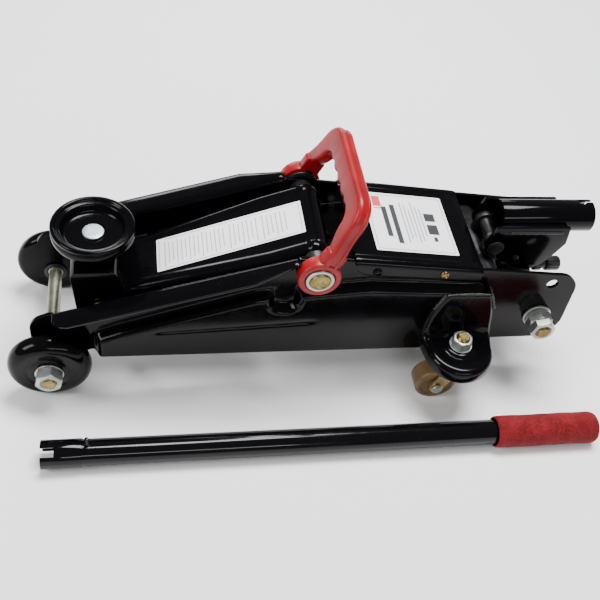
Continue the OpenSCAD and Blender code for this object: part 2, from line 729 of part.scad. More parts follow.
side_plate(-1);  // side_plate_left
side_plate(1);  // side_plate_right
front_axle();
axle_clips();
front_wheel_washers();
front_wheel_nuts();
front_wheel(-1);  // front_wheel_left
front_wheel(1);  // front_wheel_right
lift_arm_shaft();
shaft_rings();
shaft_washers();
link_anchor_pins();
cover_plate();
cover_screws();
pump_block();
oil_cylinder();
oil_reservoir();
cylinder_gland();
oil_filler_plug();
pump_barrel();
rear_frame_bolt();
rear_frame_nut();
bolt_spacers();
frame_cross_tube();
cover_nuts();
return_springs();
socket_pin();
caster_wing(-1);  // caster_wing_left
caster_wing(1);  // caster_wing_right
caster_kingpins();
caster_nuts();
caster_races();
caster_fork(-1);  // caster_fork_left
caster_fork(1);  // caster_fork_right
caster_axle(-1);  // caster_axle_left
caster_axle(1);  // caster_axle_right
caster_wheel(-1);  // caster_wheel_left
caster_wheel(1);  // caster_wheel_right
lift_arm();
arm_pivot_tube();
arm_crank();
crank_pin();
saddle_bracket();
saddle_pin();
link_pin();
saddle();
saddle_rivet();
link_rod(-1);  // link_rod_left
link_rod(1);  // link_rod_right
ram();
ram_crosshead();
handle_socket();
socket_roller();
pump_plunger();
plunger_spring();
release_valve();
carry_handle();
lever_tube();
lever_grip();
lever_stub();
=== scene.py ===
"""A compact hydraulic trolley jack and its loose pump lever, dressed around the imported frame.

Each sub-assembly is a class that builds its meshes in the jack's own millimetres: x runs to the
rear, y = 0 is the centre plane and z = 0 the floor. JackSpace turns those into the frame's metres.
"""

import logging
import math
from dataclasses import dataclass, field
from enum import Enum
from functools import partial
from typing import Callable, Sequence

import bmesh
import bpy
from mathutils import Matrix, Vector, noise


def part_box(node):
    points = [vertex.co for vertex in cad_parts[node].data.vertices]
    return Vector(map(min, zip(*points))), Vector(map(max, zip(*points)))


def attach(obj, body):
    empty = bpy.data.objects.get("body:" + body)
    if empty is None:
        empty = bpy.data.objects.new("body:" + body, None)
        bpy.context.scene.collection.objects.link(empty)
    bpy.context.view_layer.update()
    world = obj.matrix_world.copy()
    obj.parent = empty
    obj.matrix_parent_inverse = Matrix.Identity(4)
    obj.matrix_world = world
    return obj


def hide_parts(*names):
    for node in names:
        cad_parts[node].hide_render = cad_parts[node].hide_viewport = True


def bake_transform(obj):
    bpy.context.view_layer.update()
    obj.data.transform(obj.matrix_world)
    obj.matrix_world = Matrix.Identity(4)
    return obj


LOG = logging.getLogger("jack")
MM = 0.001
# the lift arm's shaft, in x and z, which the handle and the arm turn on
SHAFT = (11.0, 127.0)
Point = tuple[float, float, float]
Flat = tuple[float, float]

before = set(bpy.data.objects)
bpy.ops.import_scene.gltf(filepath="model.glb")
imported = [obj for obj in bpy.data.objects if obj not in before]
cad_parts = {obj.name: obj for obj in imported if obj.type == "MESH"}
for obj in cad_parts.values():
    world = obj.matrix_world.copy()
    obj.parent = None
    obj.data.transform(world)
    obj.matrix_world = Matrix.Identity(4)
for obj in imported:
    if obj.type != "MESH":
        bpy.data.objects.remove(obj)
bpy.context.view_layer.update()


# ---------------------------------------------------------------- space and small maths


@dataclass(frozen=True)
class JackSpace:
    """Places the jack's own millimetres in the frame, from the lift arm's shaft."""

    shift: Vector

    @classmethod
    def from_frame(cls) -> "JackSpace":
        """Reads the shaft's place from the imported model."""
        low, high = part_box("lift_arm_shaft")
        middle = (low + high) / 2
        return cls(Vector((middle.x - SHAFT[0] * MM, middle.y, 0)))

    def at(self, x: float, y: float, z: float) -> Vector:
        """Gives the frame's point, in metres, for a point of the jack in millimetres."""
        return Vector((x * MM, y * MM, z * MM)) + self.shift


JACK = JackSpace.from_frame()


def smooth(t: float) -> float:
    """Eases a value from 0 to 1, flat at both ends."""
    t = min(max(t, 0.0), 1.0)
    return t * t * (3 - 2 * t)


def spaced(start: float, end: float, count: int) -> list[float]:
    """Gives count values from start to end, evenly spaced."""
    return [start + (end - start) * i / (count - 1) for i in range(count)]


def arc(cx: float, cy: float, r: float, a0: float, a1: float, count: int) -> list[Flat]:
    """Gives count points on an arc, with its angles in degrees."""
    return [
        (cx + r * math.cos(math.radians(a)), cy + r * math.sin(math.radians(a)))
        for a in spaced(a0, a1, count)
    ]


def along(path: Sequence[Flat], x: float) -> float:
    """Reads a polyline's second value at x, holding its ends."""
    if x <= path[0][0]:
        return path[0][1]
    for (x0, y0), (x1, y1) in zip(path, path[1:]):
        if x <= x1:
            return y0 + (y1 - y0) * (x - x0) / (x1 - x0)
    return path[-1][1]


def rounded(corners: Sequence[Flat], radii: Sequence[float], steps: int = 6) -> list[Flat]:
    """Rounds each corner of a closed outline.

    Args:
        corners: The outline's corners in order.
        radii: One radius for each corner.
        steps: Segments in each rounded corner.

    Returns:
        The outline's points.
    """
    out: list[Flat] = []
    count = len(corners)
    for i, (corner, r) in enumerate(zip(corners, radii)):
        c = Vector(corner)
        back = Vector(corners[i - 1]) - c
        on = Vector(corners[(i + 1) % count]) - c
        half = back.angle(on) / 2
        reach = min(r / math.tan(half), back.length * 0.49, on.length * 0.49)
        if r <= 0 or half > math.radians(89):
            out.append(tuple(c))
            continue
        start = c + back.normalized() * reach
        end = c + on.normalized() * reach
        for k in range(steps + 1):
            t = k / steps
            p = start * (1 - t) ** 2 + c * 2 * t * (1 - t) + end * t * t
            out.append((p.x, p.y))
    return out


def inside_depth(outline: Sequence[Flat], x: float, y: float) -> float:
    """Gives how deep a point is inside an outline: negative when it is outside."""
    best = 1e9
    odd = False
    for i in range(len(outline)):
        ax, ay = outline[i - 1]
        bx, by = outline[i]
        dx, dy = bx - ax, by - ay
        length = dx * dx + dy * dy
        t = 0.0 if length == 0 else min(max(((x - ax) * dx + (y - ay) * dy) / length, 0), 1)
        best = min(best, math.hypot(x - ax - t * dx, y - ay - t * dy))
        if (ay > y) != (by > y) and x < (bx - ax) * (y - ay) / (by - ay) + ax:
            odd = not odd
    return best if odd else -best


# ---------------------------------------------------------------- colours and node trees


def colour(hex_code: str) -> tuple[float, float, float, float]:
    """Turns an sRGB hex value into linear colour with full opacity."""

    def linear(value: int) -> float:
        """Turns one sRGB channel, 0 to 255, into linear light."""
        c = value / 255
        return c / 12.92 if c <= 0.04045 else ((c + 0.055) / 1.055) ** 2.4

    red, green, blue = (int(hex_code[i : i + 2], 16) for i in (1, 3, 5))
    return (linear(red), linear(green), linear(blue), 1.0)


def grey(value: float) -> tuple[float, float, float, float]:
    """Gives a neutral linear colour."""
    return (value, value, value, 1.0)


def add_node(tree, kind: str, settings: dict | None = None, links: dict | None = None, feeds=None):
    """Adds a node to a tree.

    Args:
        tree: The node tree.
        kind: The node's type name.
        settings: Attributes by name, socket values by socket name or number, and a colour
            ramp's (position, colour) pairs as "stops".
        links: What feeds each input, by the input's name or number: an output socket, or a
            node, which stands for its first output.
        feeds: The input socket that the node's first output feeds, if any.

    Returns:
        The node.
    """
    node = tree.nodes.new(kind)
    for key, value in (settings or {}).items():
        if key == "stops":
            elements = node.color_ramp.elements
            for (position, shade), element in zip(value, [elements[0], elements[1]]):
                element.position, element.color = position, shade
            for position, shade in value[2:]:
                elements.new(position).color = shade
        elif isinstance(key, str) and hasattr(node, key):
            setattr(node, key, value)
        else:
            node.inputs[key].default_value = value
    for key, source in (links or {}).items():
        tree.links.new(
            source.outputs[0] if isinstance(source, bpy.types.Node) else source, node.inputs[key],
        )
    if feeds:
        tree.links.new(node.outputs[0], feeds)
    return node


class Finish:
    """A finish that becomes a material the first time it is asked for."""

    made: dict[str, bpy.types.Material] = {}
    name: str = "finish"
    base: str = "#808080"

    def material(self) -> bpy.types.Material:
        """Gives this finish's material, building it once."""
        if self.name not in Finish.made:
            mat = bpy.data.materials.new(self.name)
            mat.use_nodes = True
            mat.diffuse_color = colour(self.base)
            shader = mat.node_tree.nodes["Principled BSDF"]
            add = partial(add_node, mat.node_tree)
            self.dress(add, shader.inputs, add("ShaderNodeTexCoord").outputs["Object"])
            Finish.made[self.name] = mat
        return Finish.made[self.name]

    def dress(self, add: Callable, shader, where) -> None:
        """Adds this finish's nodes: each kind of finish has its own.

        Args:
            add: Adds a node to the material's tree, as add_node does.
            shader: The shader's inputs.
            where: The output with the place on the object.
        """
        raise NotImplementedError


@dataclass(frozen=True)
class Enamel(Finish):
    """Stoving enamel on steel: a wet gloss over slight orange peel, with dust and rubbed spots."""

    name: str = "gloss_enamel"
    base: str = "#050507"
    dull: str = "#0f0f12"
    roughness: float = 0.1
    peel_mm: float = 5.0
    peel_strength: float = 0.10
    dust: float = 0.4
    coat: float = 0.0

    def dress(self, add: Callable, shader, where) -> None:
        """Mixes clean gloss with duller handled patches, and lays orange peel over it."""
        shader["IOR"].default_value = 1.22
        shader["Coat Weight"].default_value = self.coat
        shader["Coat Roughness"].default_value = 0.04
        # handled patches a few centimetres wide, broken up by finer smears
        patch_look = {"Scale": 29.4, "Detail": 4.0, "Roughness": 0.6}
        patches = add("ShaderNodeTexNoise", patch_look, {"Vector": where})
        smear_look = {"Scale": 420.0, "Detail": 5.0, "Distortion": 1.2}
        smears = add("ShaderNodeTexNoise", smear_look, {"Vector": where})
        worn = add("ShaderNodeMath", {"operation": "MULTIPLY"}, {0: patches, 1: smears})
        clean, dull = colour(self.base), colour(self.dull)
        shade = add(
            "ShaderNodeValToRGB", {"stops": [(0.22, clean), (0.36, clean), (0.52, dull)]}, {"Fac": worn},
        )
        # settled dust shows as pale specks about half a millimetre across
        speck_look = {"Scale": 1111.1, "Detail": 2.0, "Roughness": 0.7}
        specks = add("ShaderNodeTexNoise", speck_look, {"Vector": where})
        mask = add(
            "ShaderNodeValToRGB", {"stops": [(0.70, grey(0)), (0.80, grey(self.dust))]}, {"Fac": specks},
        )
        dusty = add("ShaderNodeMix", {"data_type": "RGBA", 7: colour("#56544e")}, {0: mask, 6: shade})
        dusty.id_data.links.new(dusty.outputs[2], shader["Base Color"])
        stops = [(0.2, grey(self.roughness)), (0.55, grey(self.roughness + 0.16))]
        add("ShaderNodeValToRGB", {"stops": stops}, {"Fac": worn}, shader["Roughness"])
        # orange peel: soft waves a few millimetres long left by spraying
        peel_look = {"Scale": 1 / (self.peel_mm * MM), "Detail": 1.5, "Roughness": 0.4}
        peel = add("ShaderNodeTexNoise", peel_look, {"Vector": where})
        height = {"Distance": 0.12 * MM, "Strength": self.peel_strength}
        add("ShaderNodeBump", height, {"Height": peel}, shader["Normal"])


@dataclass(frozen=True)
class PlatedSteel(Finish):
    """Electroplated zinc on turned steel: soft metal gloss, cloudy tint and fine tool marks."""

    name: str = "bright_zinc_plate"
    base: str = "#b9bdc0"
    tint: str = "#a7aa9c"
    roughness: float = 0.4
    cloud_mm: float = 9.0
    marks: float = 0.25

    def dress(self, add: Callable, shader, where) -> None:
        """Clouds the plating's tint and roughness and adds fine tool marks."""
        shader["Metallic"].default_value = 1.0
        cloud_look = {"Scale": 1 / (self.cloud_mm * MM), "Detail": 4.0, "Roughness": 0.55}
        clouds = add("ShaderNodeTexNoise", cloud_look, {"Vector": where})
        stops = [(0.35, colour(self.base)), (0.68, colour(self.tint))]
        add("ShaderNodeValToRGB", {"stops": stops}, {"Fac": clouds}, shader["Base Color"])
        spot_look = {"Scale": 625.0, "Detail": 3.0, "Roughness": 0.6}
        spots = add("ShaderNodeTexNoise", spot_look, {"Vector": where})
        stops = [(0.3, grey(self.roughness - 0.08)), (0.75, grey(self.roughness + 0.16))]
        add("ShaderNodeValToRGB", {"stops": stops}, {"Fac": spots}, shader["Roughness"])
        # tool marks a third of a millimetre apart, drawn coarser than real ones so that they show
        line_look = {
            "Scale": 900.0, "Distortion": 1.5, "Detail": 2.0, "wave_type": "BANDS", "bands_direction": "Y",
        }
        lines = add("ShaderNodeTexWave", line_look, {"Vector": where}).outputs["Fac"]
        height = {"Distance": 0.02 * MM, "Strength": self.marks}
        add("ShaderNodeBump", height, {"Height": lines}, shader["Normal"])


@dataclass(frozen=True)
class Moulding(Finish):
    """Injection moulded plastic: even colour with flow shading, a soft skin and scuffs."""

    name: str = "moulded_red_abs"
    base: str = "#970713"
    deep: str = "#78050e"
    roughness: float = 0.3
    ior: float = 1.4
    skin_mm: float = 0.8
    skin: float = 0.12
    glow: float = 0.0

    def dress(self, add: Callable, shader, where) -> None:
        """Shades the flow of the plastic, varies its gloss and gives it a fine skin."""
        shader["IOR"].default_value = self.ior
        shader["Subsurface Weight"].default_value = self.glow
        shader["Subsurface Scale"].default_value = 0.003
        flow_look = {"Scale": 38.5, "Detail": 3.0, "Roughness": 0.5}
        flow = add("ShaderNodeTexNoise", flow_look, {"Vector": where})
        stops = [(0.3, colour(self.deep)), (0.62, colour(self.base))]
        add("ShaderNodeValToRGB", {"stops": stops}, {"Fac": flow}, shader["Base Color"])
        scuff_look = {"Scale": 260.0, "Detail": 6.0, "Distortion": 2.5}
        scuffs = add("ShaderNodeTexNoise", scuff_look, {"Vector": where})
        stops = [(0.4, grey(self.roughness)), (0.75, grey(self.roughness + 0.2))]
        add("ShaderNodeValToRGB", {"stops": stops}, {"Fac": scuffs}, shader["Roughness"])
        skin_look = {"Scale": 1 / (self.skin_mm * MM), "Detail": 2.0, "Roughness": 0.5}
        skin = add("ShaderNodeTexNoise", skin_look, {"Vector": where})
        height = {"Distance": 0.05 * MM, "Strength": self.skin}
        add("ShaderNodeBump", height, {"Height": skin}, shader["Normal"])


@dataclass(frozen=True)
class Foam(Finish):
    """Closed-cell rubber foam: matt, with skinned cells, painted shade in their pits, lighter rims and
    random rubbed lighter patches.
    """

    name: str = "closed_cell_red_foam"
    base: str = "#640a11"
    deep: str = "#48060b"
    rubbed: str = "#7a171d"
    cell_mm: float = 1.4

    def dress(self, add: Callable, shader, where) -> None:
        """Draws the foam's cells as bump and as colour, with painted shade in each pit, under a soft sheen.
        """
        shader["Roughness"].default_value = 0.82
        shader["Specular IOR Level"].default_value = 0.2
        shader["Sheen Weight"].default_value = 0.03
        shader["Sheen Roughness"].default_value = 0.5
        cells = add("ShaderNodeTexVoronoi", {"Scale": 1 / (self.cell_mm * MM)}, {"Vector": where})
        rub_look = {"Scale": 83.3, "Detail": 4.0, "Roughness": 0.6}
        rubbed = add("ShaderNodeTexNoise", rub_look, {"Vector": where})
        # the colour reads the same cells as the bump: painted shade darkens each pit (the deep stop) and
        # the rims come out lighter; the noise adds random rubbed patches
        pit_shade_and_rubbing = add("ShaderNodeMath", {"operation": "MULTIPLY_ADD", 1: 0.45}, {0: cells, 2: rubbed})
        stops = [(0.42, colour(self.deep)), (0.62, colour(self.base)), (0.9, colour(self.rubbed))]
        add("ShaderNodeValToRGB", {"stops": stops}, {"Fac": pit_shade_and_rubbing}, shader["Base Color"])
        add("ShaderNodeBump", {"Distance": 0.25 * MM, "Strength": 0.4}, {"Height": cells}, shader["Normal"])


@dataclass(frozen=True)
class Casting(Finish):
    """Satin paint over a cast or sawn blank: sandy skin, oily dark patches and dry ones."""

    name: str = "satin_paint_on_casting"
    base: str = "#08080a"
    dry: str = "#161618"
    roughness: float = 0.42

    def dress(self, add: Callable, shader, where) -> None:
        """Clouds the paint with oil and gives the casting its sandy skin."""
        oil = add("ShaderNodeTexNoise", {"Scale": 55.6, "Detail": 5.0, "Roughness": 0.6}, {"Vector": where})
        stops = [(0.38, colour(self.base)), (0.66, colour(self.dry))]
        add("ShaderNodeValToRGB", {"stops": stops}, {"Fac": oil}, shader["Base Color"])
        stops = [(0.35, grey(self.roughness - 0.14)), (0.7, grey(self.roughness + 0.15))]
        add("ShaderNodeValToRGB", {"stops": stops}, {"Fac": oil}, shader["Roughness"])
        sand_look = {"Scale": 1428.6, "Detail": 3.0, "Roughness": 0.6}
        sand = add("ShaderNodeTexNoise", sand_look, {"Vector": where})
        add("ShaderNodeBump", {"Distance": 0.12 * MM, "Strength": 0.35}, {"Height": sand}, shader["Normal"])


@dataclass(frozen=True)
class Sticker(Finish):
    """Printed vinyl: smooth off-white film with faint toner haze and soft creases."""

    name: str = "printed_vinyl_white"
    base: str = "#f6f6f8"
    haze: str = "#eeeff2"
    roughness: float = 0.38

    def dress(self, add: Callable, shader, where) -> None:
        """Clouds the film slightly and lets soft creases catch the light."""
        cloud_look = {"Scale": 66.7, "Detail": 3.0, "Roughness": 0.5}
        cloud = add("ShaderNodeTexNoise", cloud_look, {"Vector": where})
        stops = [(0.35, colour(self.base)), (0.7, colour(self.haze))]
        add("ShaderNodeValToRGB", {"stops": stops}, {"Fac": cloud}, shader["Base Color"])
        stops = [(0.3, grey(self.roughness)), (0.7, grey(self.roughness + 0.12))]
        add("ShaderNodeValToRGB", {"stops": stops}, {"Fac": cloud}, shader["Roughness"])
        crease_look = {"Scale": 33.3, "Detail": 2.0, "Roughness": 0.5}
        crease = add("ShaderNodeTexNoise", crease_look, {"Vector": where})
        add(
            "ShaderNodeBump", {"Distance": 0.2 * MM, "Strength": 0.15}, {"Height": crease},
            shader["Normal"],
        )


class Look(Enum):
    """The jack's finishes, one for each real material and process."""

    # stoved gloss enamel: near black, wet highlights
    ENAMEL = Enamel()
    # the wheels' enamel is thicker, with longer waves in its gloss and more dust
    WHEEL_ENAMEL = Enamel("wheel_gloss_enamel", "#060607", "#141413", 0.1, 6.0, 0.08, 0.5, 0.0)
    # brush-painted small parts and the lever's tube: longer waves in the gloss
    TUBE_ENAMEL = Enamel("lever_gloss_enamel", "#060608", "#121215", 0.1, 7.0, 0.12, 0.4, 0.2)
    # zinc plated nuts, bolts and washers: cool light metal
    ZINC = PlatedSteel()
    # yellow passivated stud ends and screws: pale straw metal
    STRAW = PlatedSteel("yellow_passivated_zinc", "#958657", "#74683a", 0.3, 5.0, 0.3)
    # the plain axle rod: dull greenish zinc
    AXLE = PlatedSteel("dull_zinc_rod", "#a9aa98", "#8d8d76", 0.42, 12.0, 0.3)
    # ground and chromed rods: bright and nearly smooth
    CHROME = PlatedSteel("hard_chromed_rod", "#d6d8da", "#c9cbcf", 0.12, 20.0, 0.08)
    # spring wire: darker drawn steel
    WIRE = PlatedSteel("drawn_spring_wire", "#8b8e92", "#74767a", 0.33, 4.0, 0.2)
    # the peened rivet in the saddle: light satin steel
    RIVET = PlatedSteel("peened_rivet_steel", "#c8d2d8", "#b4bfc6", 0.45, 7.0, 0.15)
    # caster forks: straw passivated pressings
    FORK = PlatedSteel("pressed_passivated_steel", "#b9a878", "#a08a55", 0.36, 8.0, 0.25)
    # carrying handle: glossy ABS moulding
    RED_ABS = Moulding()
    # caster wheels: amber nylon, slightly translucent; both colours are darkened below the nylon's own
    # amber as painted shade, for the wheels' shadowed place under the wings
    AMBER = Moulding("moulded_amber_nylon_with_painted_shade", "#6c5128", "#4f3a1a", 0.36, 1.53, 1.2, 0.15, 0.1)
    # knob and filler plug: black nylon
    BLACK_NYLON = Moulding("moulded_black_nylon", "#111113", "#0a0a0b", 0.4, 1.5, 0.7, 0.2, 0.0)
    FOAM = Foam()
    CASTING = Casting()
    # weld beads under the paint: satin with a rougher skin
    WELD = Casting("painted_weld_bead", "#09090a", "#141415", 0.3)
    VINYL = Sticker()
    # the stickers' printed lines: pale red frame, grey rules and darker title bars
    PINK_INK = Sticker("pale_red_ink", "#b8484e", "#a83c42", 0.42)
    GREY_INK = Sticker("mid_grey_ink", "#82858d", "#767982", 0.42)
    DARK_INK = Sticker("dark_grey_ink", "#23252c", "#1c1e24", 0.42)
    RED_INK = Sticker("red_ink", "#c8464c", "#bb3b42", 0.42)

    @property
    def mat(self) -> bpy.types.Material:
        """Gives the finish's material."""
        return self.value.material()


# ---------------------------------------------------------------- mesh building


def add_object(name: str, mesh: bpy.types.Mesh) -> bpy.types.Object:
    """Links a new object with this mesh and gives it."""
    obj = bpy.data.objects.new(name, mesh)
    bpy.context.scene.collection.objects.link(obj)
    return obj


def to_object(name: str, bm: bmesh.types.BMesh, sharp: float = 32.0) -> bpy.types.Object:
    """Turns a bmesh in jack millimetres into an object in the frame's metres.

    Args:
        name: The piece's name.
        bm: The mesh, which is used up.
        sharp: Edges over this angle in degrees stay sharp.

    Returns:
        The object, at the origin, with its place in its mesh.
    """
    bmesh.ops.remove_doubles(bm, verts=bm.verts, dist=1e-4)
    bmesh.ops.recalc_face_normals(bm, faces=bm.faces)
    for v in bm.verts:
        v.co = JACK.at(*v.co)
    mesh = bpy.data.meshes.new(name)
    bm.to_mesh(mesh)
    bm.free()
    mesh.shade_smooth()
    mesh.set_sharp_from_angle(angle=math.radians(sharp))
    return add_object(name, mesh)


def bake_modifiers(obj: bpy.types.Object, sharp: float = 32.0) -> bpy.types.Object:
    """Applies an object's modifiers by replacing its mesh with the evaluated one."""
    graph = bpy.context.evaluated_depsgraph_get()
    mesh = bpy.data.meshes.new_from_object(obj.evaluated_get(graph))
    obj.modifiers.clear()
    obj.data = mesh
    mesh.shade_smooth()
    mesh.set_sharp_from_angle(angle=math.radians(sharp))
    return obj


def bevelled(
    obj: bpy.types.Object, width_mm: float, segments: int = 2, angle: float = 34.0,
) -> bpy.types.Object:
    """Rounds an object's sharp edges with a bevel of real geometry."""
    mod = obj.modifiers.new("round", "BEVEL")
    mod.width = width_mm * MM
    mod.segments = segments
    mod.limit_method = "ANGLE"
    mod.angle_limit = math.radians(angle)
    mod.use_clamp_overlap = True
    mod.harden_normals = False
    return bake_modifiers(obj)


def thickened(obj: bpy.types.Object, thick_mm: float, edge_mm: float = 0.0) -> bpy.types.Object:
    """Gives a sheet its thickness, inward from its outer face, and rounds its edges."""
    mod = obj.modifiers.new("sheet", "SOLIDIFY")
    mod.thickness = thick_mm * MM
    mod.offset = -1.0
    mod.use_even_offset = False
    bake_modifiers(obj)
    if edge_mm:
        bevelled(obj, edge_mm, 2, 50)
    return obj


def grid_sheet(rows: Sequence[Sequence[Point]], closed: bool = False) -> bmesh.types.BMesh:
    """Makes a sheet of faces from rows of points.

    Args:
        rows: Rows with the same number of points each.
        closed: Whether each row joins its end to its start.

    Returns:
        The mesh.
    """
    bm = bmesh.new()
    made = [[bm.verts.new(p) for p in row] for row in rows]
    for low, high in zip(made, made[1:]):
        count = len(low)
        for i in range(count if closed else count - 1):
            j = (i + 1) % count
            bm.faces.new((low[i], low[j], high[j], high[i]))
    return bm


def capped(bm: bmesh.types.BMesh) -> bmesh.types.BMesh:
    """Closes a mesh's open boundary loops with flat faces."""
    bmesh.ops.remove_doubles(bm, verts=bm.verts, dist=1e-4)
    edges = [e for e in bm.edges if e.is_boundary]
    bmesh.ops.holes_fill(bm, edges=edges, sides=0)
    return bm


class Axis(Enum):
    """The direction that a turned piece's axis takes."""

    X = 0
    Y = 1
    Z = 2


def turned(
    name: str, profile: Sequence[Flat], centre: Point, axis: Axis, steps: int = 72, sharp: float = 32.0,
    radius: Callable[[float, float, float], float] | None = None,
) -> bpy.types.Object:
    """Turns a profile on a lathe.

    Args:
        name: The piece's name.
        profile: Radius and height pairs along the outline, closed if its ends meet.
        centre: The point on the axis at height 0.
        axis: The axis of turning; heights run along it.
        steps: Segments round the axis.
        sharp: Edges over this angle in degrees stay sharp.
        radius: Changes a radius from (radius, height, angle), for flutes and flats.

    Returns:
        The turned object.
    """
    rows = []
    for i in range(steps):
        a = 2 * math.pi * i / steps
        row = []
        for r, h in profile:
            rr = radius(r, h, a) if radius else r
            u, v = rr * math.cos(a), rr * math.sin(a)
            offset = {Axis.X: (h, u, v), Axis.Y: (u, h, v), Axis.Z: (u, v, h)}[axis]
            row.append(tuple(c + o for c, o in zip(centre, offset)))
        rows.append(row)
    rows.append(rows[0])
    bm = grid_sheet(rows)
    bmesh.ops.remove_doubles(bm, verts=bm.verts, dist=1e-5)
    bmesh.ops.dissolve_degenerate(bm, dist=1e-6, edges=bm.edges)
    return to_object(name, bm, sharp)


def slab(name: str, outline: Sequence[Flat], y0: float, y1: float, sharp: float = 32.0) -> bpy.types.Object:
    """Extrudes an outline in x and z between two y planes."""
    bm = bmesh.new()
    near = [bm.verts.new((x, y0, z)) for x, z in outline]
    far = [bm.verts.new((x, y1, z)) for x, z in outline]
    bm.faces.new(near)
    bm.faces.new(list(reversed(far)))
    count = len(near)
    for i in range(count):
        j = (i + 1) % count
        bm.faces.new((near[i], far[i], far[j], near[j]))
    return to_object(name, bm, sharp)


def joined(name: str, parts: Sequence[bpy.types.Object]) -> bpy.types.Object:
    """Joins finished objects into one, keeping each one's materials."""
    bm = bmesh.new()
    mats: list[bpy.types.Material] = []
    for part in parts:
        start = len(bm.faces)
        table = []
        for mat in part.data.materials:
            if mat not in mats:
                mats.append(mat)
            table.append(mats.index(mat))
        bm.from_mesh(part.data)
        bm.faces.ensure_lookup_table()
        for face in bm.faces[start:]:
            face.material_index = table[face.material_index] if table else 0
    mesh = bpy.data.meshes.new(name)
    bm.to_mesh(mesh)
    bm.free()
    for mat in mats:
        mesh.materials.append(mat)
    for part in parts:
        bpy.data.objects.remove(part)
    return add_object(name, mesh)


def mirrored(obj: bpy.types.Object, name: str) -> bpy.types.Object:
    """Copies an object across the jack's centre plane."""
    bm = bmesh.new()
    bm.from_mesh(obj.data)
    for v in bm.verts:
        v.co.y = 2 * JACK.shift.y - v.co.y
    bmesh.ops.reverse_faces(bm, faces=bm.faces)
    mesh = bpy.data.meshes.new(name)
    bm.to_mesh(mesh)
    bm.free()
    for mat in obj.data.materials:
        mesh.materials.append(mat)
    return add_object(name, mesh)


def paint(obj: bpy.types.Object, look: Look) -> bpy.types.Object:
    """Gives an object one finish."""
    obj.data.materials.clear()
    obj.data.materials.append(look.mat)
    return obj


def fit_out(obj: bpy.types.Object, body: str, slot: str, *nodes: str) -> bpy.types.Object:
    """Hangs a piece on the body it rides on and hides the CAD nodes it stands for."""
    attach(obj, body)
    if nodes:
        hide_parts(*nodes)
    LOG.info("piece %s rides on %s, %d faces", obj.name, body, len(obj.data.polygons))
    return obj


def both_ways(half: Sequence[tuple[float, float]]) -> list[tuple[float, float]]:
    """Extends half a profile, which starts at its middle, to the other side."""
    return [(r, -h) for r, h in reversed(half)] + list(half[1:])


def softened(node: str, look: Look, width_mm: float, segments: int = 2) -> bpy.types.Object:
    """Copies a CAD node, merges its triangles and rounds its edges.

    Args:
        node: The CAD node's name.
        look: The finish it gets.
        width_mm: The width of its rounded edges.
        segments: Segments in each rounded edge.

    Returns:
        The rounded copy, which stands for the node.
    """
    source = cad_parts[node]
    bm = bmesh.new()
    bm.from_mesh(source.data)
    bmesh.ops.remove_doubles(bm, verts=bm.verts, dist=2e-6)
    bmesh.ops.dissolve_limit(bm, angle_limit=math.radians(1.0), verts=bm.verts, edges=bm.edges)
    mesh = bpy.data.meshes.new(node + "_finished")
    bm.to_mesh(mesh)
    bm.free()
    obj = add_object(node + "_finished", mesh)
    bevelled(obj, width_mm, segments)
    return paint(obj, look)


# ---------------------------------------------------------------- geometry nodes


def new_tree(name: str, inputs: Sequence[tuple[str, str, object]]):
    """Starts a Geometry Nodes tree.

    Args:
        name: The tree's name.
        inputs: Name, socket type and default of each input after the geometry.

    Returns:
        The tree and its group input node.
    """
    tree = bpy.data.node_groups.new(name, "GeometryNodeTree")
    tree.interface.new_socket("Geometry", in_out="INPUT", socket_type="NodeSocketGeometry")
    for label, kind, default in inputs:
        socket = tree.interface.new_socket(label, in_out="INPUT", socket_type=kind)
        if default is not None:
            socket.default_value = default
    tree.interface.new_socket("Geometry", in_out="OUTPUT", socket_type="NodeSocketGeometry")
    return tree, tree.nodes.new("NodeGroupInput")


def end_tree(tree, last, look: Look) -> None:
    """Ends a tree in Realize Instances and Set Material, after its last node."""
    real = add_node(tree, "GeometryNodeRealizeInstances", links={"Geometry": last})
    coat = add_node(tree, "GeometryNodeSetMaterial", {"Material": look.mat}, {"Geometry": real})
    add_node(tree, "NodeGroupOutput", links={"Geometry": coat})


def run_tree(
    name: str, mesh: bpy.types.Mesh, tree, values: dict[str, object], look: Look,
) -> bpy.types.Object:
    """Runs a tree on a mesh and keeps the result as a plain mesh.

    Args:
        name: The finished piece's name.
        mesh: The mesh that the tree reads, in the frame's metres.
        tree: The Geometry Nodes tree.
        values: Input values by name, set by the socket's identifier.
        look: The piece's finish.

    Returns:
        The finished object, with no modifier.
    """
    obj = add_object(name, mesh)
    mod = obj.modifiers.new("build", "NODES")
    mod.node_group = tree
    sockets = {s.name: s.identifier for s in tree.interface.items_tree if s.in_out == "INPUT"}
    for label, value in values.items():
        mod[sockets[label]] = value
    bake_modifiers(obj)
    return paint(obj, look)


def points_mesh(name: str, places: Sequence[Vector], facings: Sequence[Vector]) -> bpy.types.Mesh:
    """Makes a mesh of loose points that each hold the direction that their copy faces."""
    mesh = bpy.data.meshes.new(name)
    mesh.from_pydata([tuple(p) for p in places], [], [])
    facing = mesh.attributes.new("facing", "FLOAT_VECTOR", "POINT")
    facing.data.foreach_set("vector", [c for f in facings for c in f])
    return mesh


def faced_copies(tree, given, source: str, axis: str):
    """Starts a tree of copies on points, each turned to the direction that its point holds.

    Args:
        tree: The Geometry Nodes tree.
        given: Its group input node.
        source: The input that holds the object to copy.
        axis: The copy's axis that is turned to the direction.

    Returns:
        The nodes with the points, the copied shape and its turn.
    """
    cloud = add_node(tree, "GeometryNodeMeshToPoints", links={"Mesh": given.outputs["Geometry"]})
    shape = add_node(tree, "GeometryNodeObjectInfo", links={"Object": given.outputs[source]})
    facing = add_node(
        tree, "GeometryNodeInputNamedAttribute", {"data_type": "FLOAT_VECTOR", "Name": "facing"},
    )
    aim = add_node(
        tree, "FunctionNodeAlignRotationToVector", {"axis": axis}, {"Vector": facing.outputs["Attribute"]},
    )
    return cloud, shape, aim


